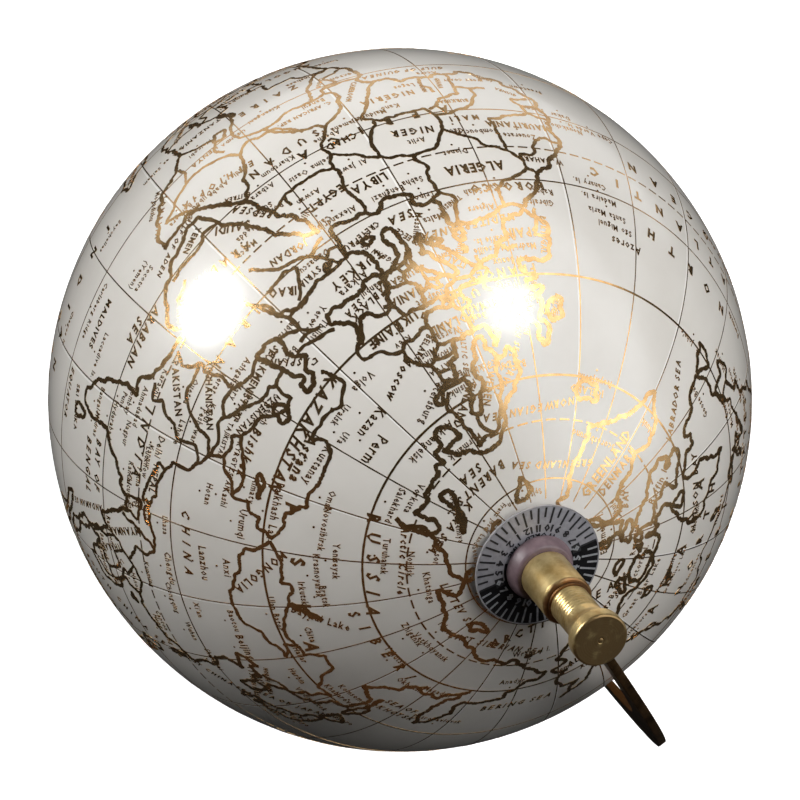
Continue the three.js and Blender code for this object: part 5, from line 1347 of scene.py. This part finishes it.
def saddle_screw(side, x):
    """One screw with a domed head and a short thread across the fork, and its cap nut."""
    flat, air = 6.5 * MM, 0.1 * MM  # half the fork's thickness, and the gap under head and nut
    height = 52.2 * MM
    along_y = Matrix.Rotation(-math.pi / 2, 4, "X")
    shank, head, thread, pitch = 1.4 * MM, 2.7 * MM, 0.16 * MM, 0.5 * MM
    outline = []
    for i in range(13):
        turn = math.radians(90 * i / 12)
        outline.append((head * math.sin(turn), -1.5 * MM * math.cos(turn)))
    end = 2 * flat + 2.4 * MM
    outline += [(head, -0.01 * MM), (shank, 0)]
    for i in range(9):
        at = end - 5.0 * MM + pitch * i
        outline += [(shank, at), (shank - thread, at + 0.5 * pitch)]
    outline += [(shank, end - 0.4 * MM), (shank - 0.3 * MM, end), (0, end)]
    matrix = Matrix.Translation((x, -flat - air, height)) @ along_y
    turned(f"saddle_screw_{side}_turned", outline, STAND_BRASS, "stand", "turned_brass", 0.05 * MM, 64,
           matrix, node=f"saddle_screw_{side}")
    matrix = Matrix.Translation((x, flat + air, height)) @ along_y
    hex_nut(f"saddle_nut_{side}_domed", f"saddle_nut_{side}", matrix, 1.7 * MM, 2.9 * MM, 0.0, 3.8 * MM,
            STAND_BRASS, "turned_brass", True)


dial()
spacers()
sleeve("north_sleeve", "north_boss", False)
sleeve("south_sleeve", "south_boss", True)
knob()
lock_rings()
grommets()
south_pivot()
arc()
base()
stem()
saddle()
saddle_screw("left", -5 * MM)
saddle_screw("right", 5 * MM)

# ------------------------------------------------------------------ stage, lights and camera


def stage():
    """A pale floor, and a pale wall far behind it all round."""
    size = 6.0
    floor = bpy.data.meshes.new("floor")
    corners = [(-size, -size, 0), (size, -size, 0), (size, size, 0), (-size, size, 0)]
    floor.from_pydata(corners, [], [(0, 1, 2, 3)])
    count = 64
    turns = [2 * math.pi * i / count for i in range(count)]
    ring = [(0.9 * size * math.cos(t), 0.9 * size * math.sin(t), z) for z in (0, size) for t in turns]
    sides = [(i, (i + 1) % count, count + (i + 1) % count, count + i) for i in range(count)]
    wall = bpy.data.meshes.new("wall")
    wall.from_pydata(ring, [], sides)
    material, tree, shader = new_material("pale_floor")
    tone = noise(tree, object_coords(tree), 3, 2)
    link(tree, ramp(tree, tone, [(0.3, (0.86, 0.86, 0.86)), (0.7, (0.88, 0.88, 0.88))]), shader, "Base Color")
    shader.inputs["Roughness"].default_value = 0.7
    shader.inputs["Emission Color"].default_value = (1, 1, 1, 1)
    shader.inputs["Emission Strength"].default_value = 0.8
    for mesh in (floor, wall):
        mesh.materials.append(material)
        obj = bpy.data.objects.new(mesh.name, mesh)
        bpy.context.scene.collection.objects.link(obj)
        obj.visible_diffuse = False
        obj.visible_glossy = False


def direction(azimuth, elevation):
    a, e = math.radians(azimuth), math.radians(elevation)
    return Vector((math.cos(a) * math.cos(e), math.sin(a) * math.cos(e), math.sin(e)))


def softbox(name, azimuth, elevation, distance, width, height, power, color=(1, 1, 1)):
    """An area light aimed at the ball; a small square one is made round."""
    light = bpy.data.lights.new(name, "AREA")
    light.shape = "ELLIPSE" if width == height < 0.5 else "RECTANGLE"
    light.size, light.size_y = width, height
    light.energy = power
    light.color = color
    obj = bpy.data.objects.new(name, light)
    towards = direction(azimuth, elevation)
    obj.location = CENTRE + towards * distance
    obj.rotation_euler = (-towards).to_track_quat("-Z", "Y").to_euler()
    obj.visible_camera = False
    bpy.context.scene.collection.objects.link(obj)
    return obj


def table_panel(name, azimuth, distance, width, depth, power):
    """Light that comes back up from the table on one side of the ball."""
    panel = softbox(name, azimuth, 0, distance, width, depth, power)
    panel.location.z = 0.01
    panel.rotation_euler = (math.pi, 0, math.radians(azimuth + 90))
    return panel


def lights():
    """Angles in degrees, then distance, width and height in metres, then watts."""
    softbox("window_right", 103, 47, 1.3, 0.36, 0.36, 2.3)
    softbox("pale_wall", 84, 40, 1.5, 2.7, 1.6, 21.5)
    softbox("lamp_left", -153.5, 14.5, 1.3, 0.37, 0.37, 12.5)
    softbox("bare_bulb", 174, 23, 1.3, 0.16, 0.16, 0.32)
    softbox("ceiling", 88, 64, 1.5, 0.8, 0.8, 4.5).visible_glossy = False
    softbox("far_wall", 38, 25, 1.5, 0.8, 1.3, 1.8).visible_diffuse = False
    softbox("dark_room", -62, 20, 1.6, 3.4, 2.6, 1.3, (1, 0.52, 0.24)).visible_diffuse = False
    table_panel("table_glow", 142, 0.43, 1.0, 0.36, 0.9)
    table_panel("table_dim", -45, 0.26, 0.5, 0.3, 0.14).visible_glossy = False
    world = bpy.data.worlds.new("studio")
    bpy.context.scene.world = world
    world.use_nodes = True
    background = world.node_tree.nodes["Background"]
    background.inputs["Color"].default_value = (1, 1, 1, 1)
    background.inputs["Strength"].default_value = 0.01


VIEW_AZIMUTH, VIEW_ELEVATION = -78.8, 80.8  # as the views are named: azimuth 0 looks along +Y
VIEW_ROLL = -131.9
VIEW_DISTANCE = 7.512 * BALL_R
LENS = 117.9


def camera():
    """The photograph's camera, aimed at the ball's centre."""
    a, e = math.radians(VIEW_AZIMUTH), math.radians(VIEW_ELEVATION)
    back = Vector((math.sin(a) * math.cos(e), -math.cos(a) * math.cos(e), math.sin(e)))
    data = bpy.data.cameras.new("camera")
    data.lens = LENS
    obj = bpy.data.objects.new("camera", data)
    look = (-back).to_track_quat("-Z", "Y")
    roll = Matrix.Rotation(math.radians(-VIEW_ROLL), 3, "Z")
    obj.matrix_world = Matrix.Translation(CENTRE + back * VIEW_DISTANCE) @ (look.to_matrix() @ roll).to_4x4()
    bpy.context.scene.collection.objects.link(obj)
    bpy.context.scene.camera = obj


stage()
lights()
camera()
bpy.context.scene.view_settings.view_transform = "Standard"
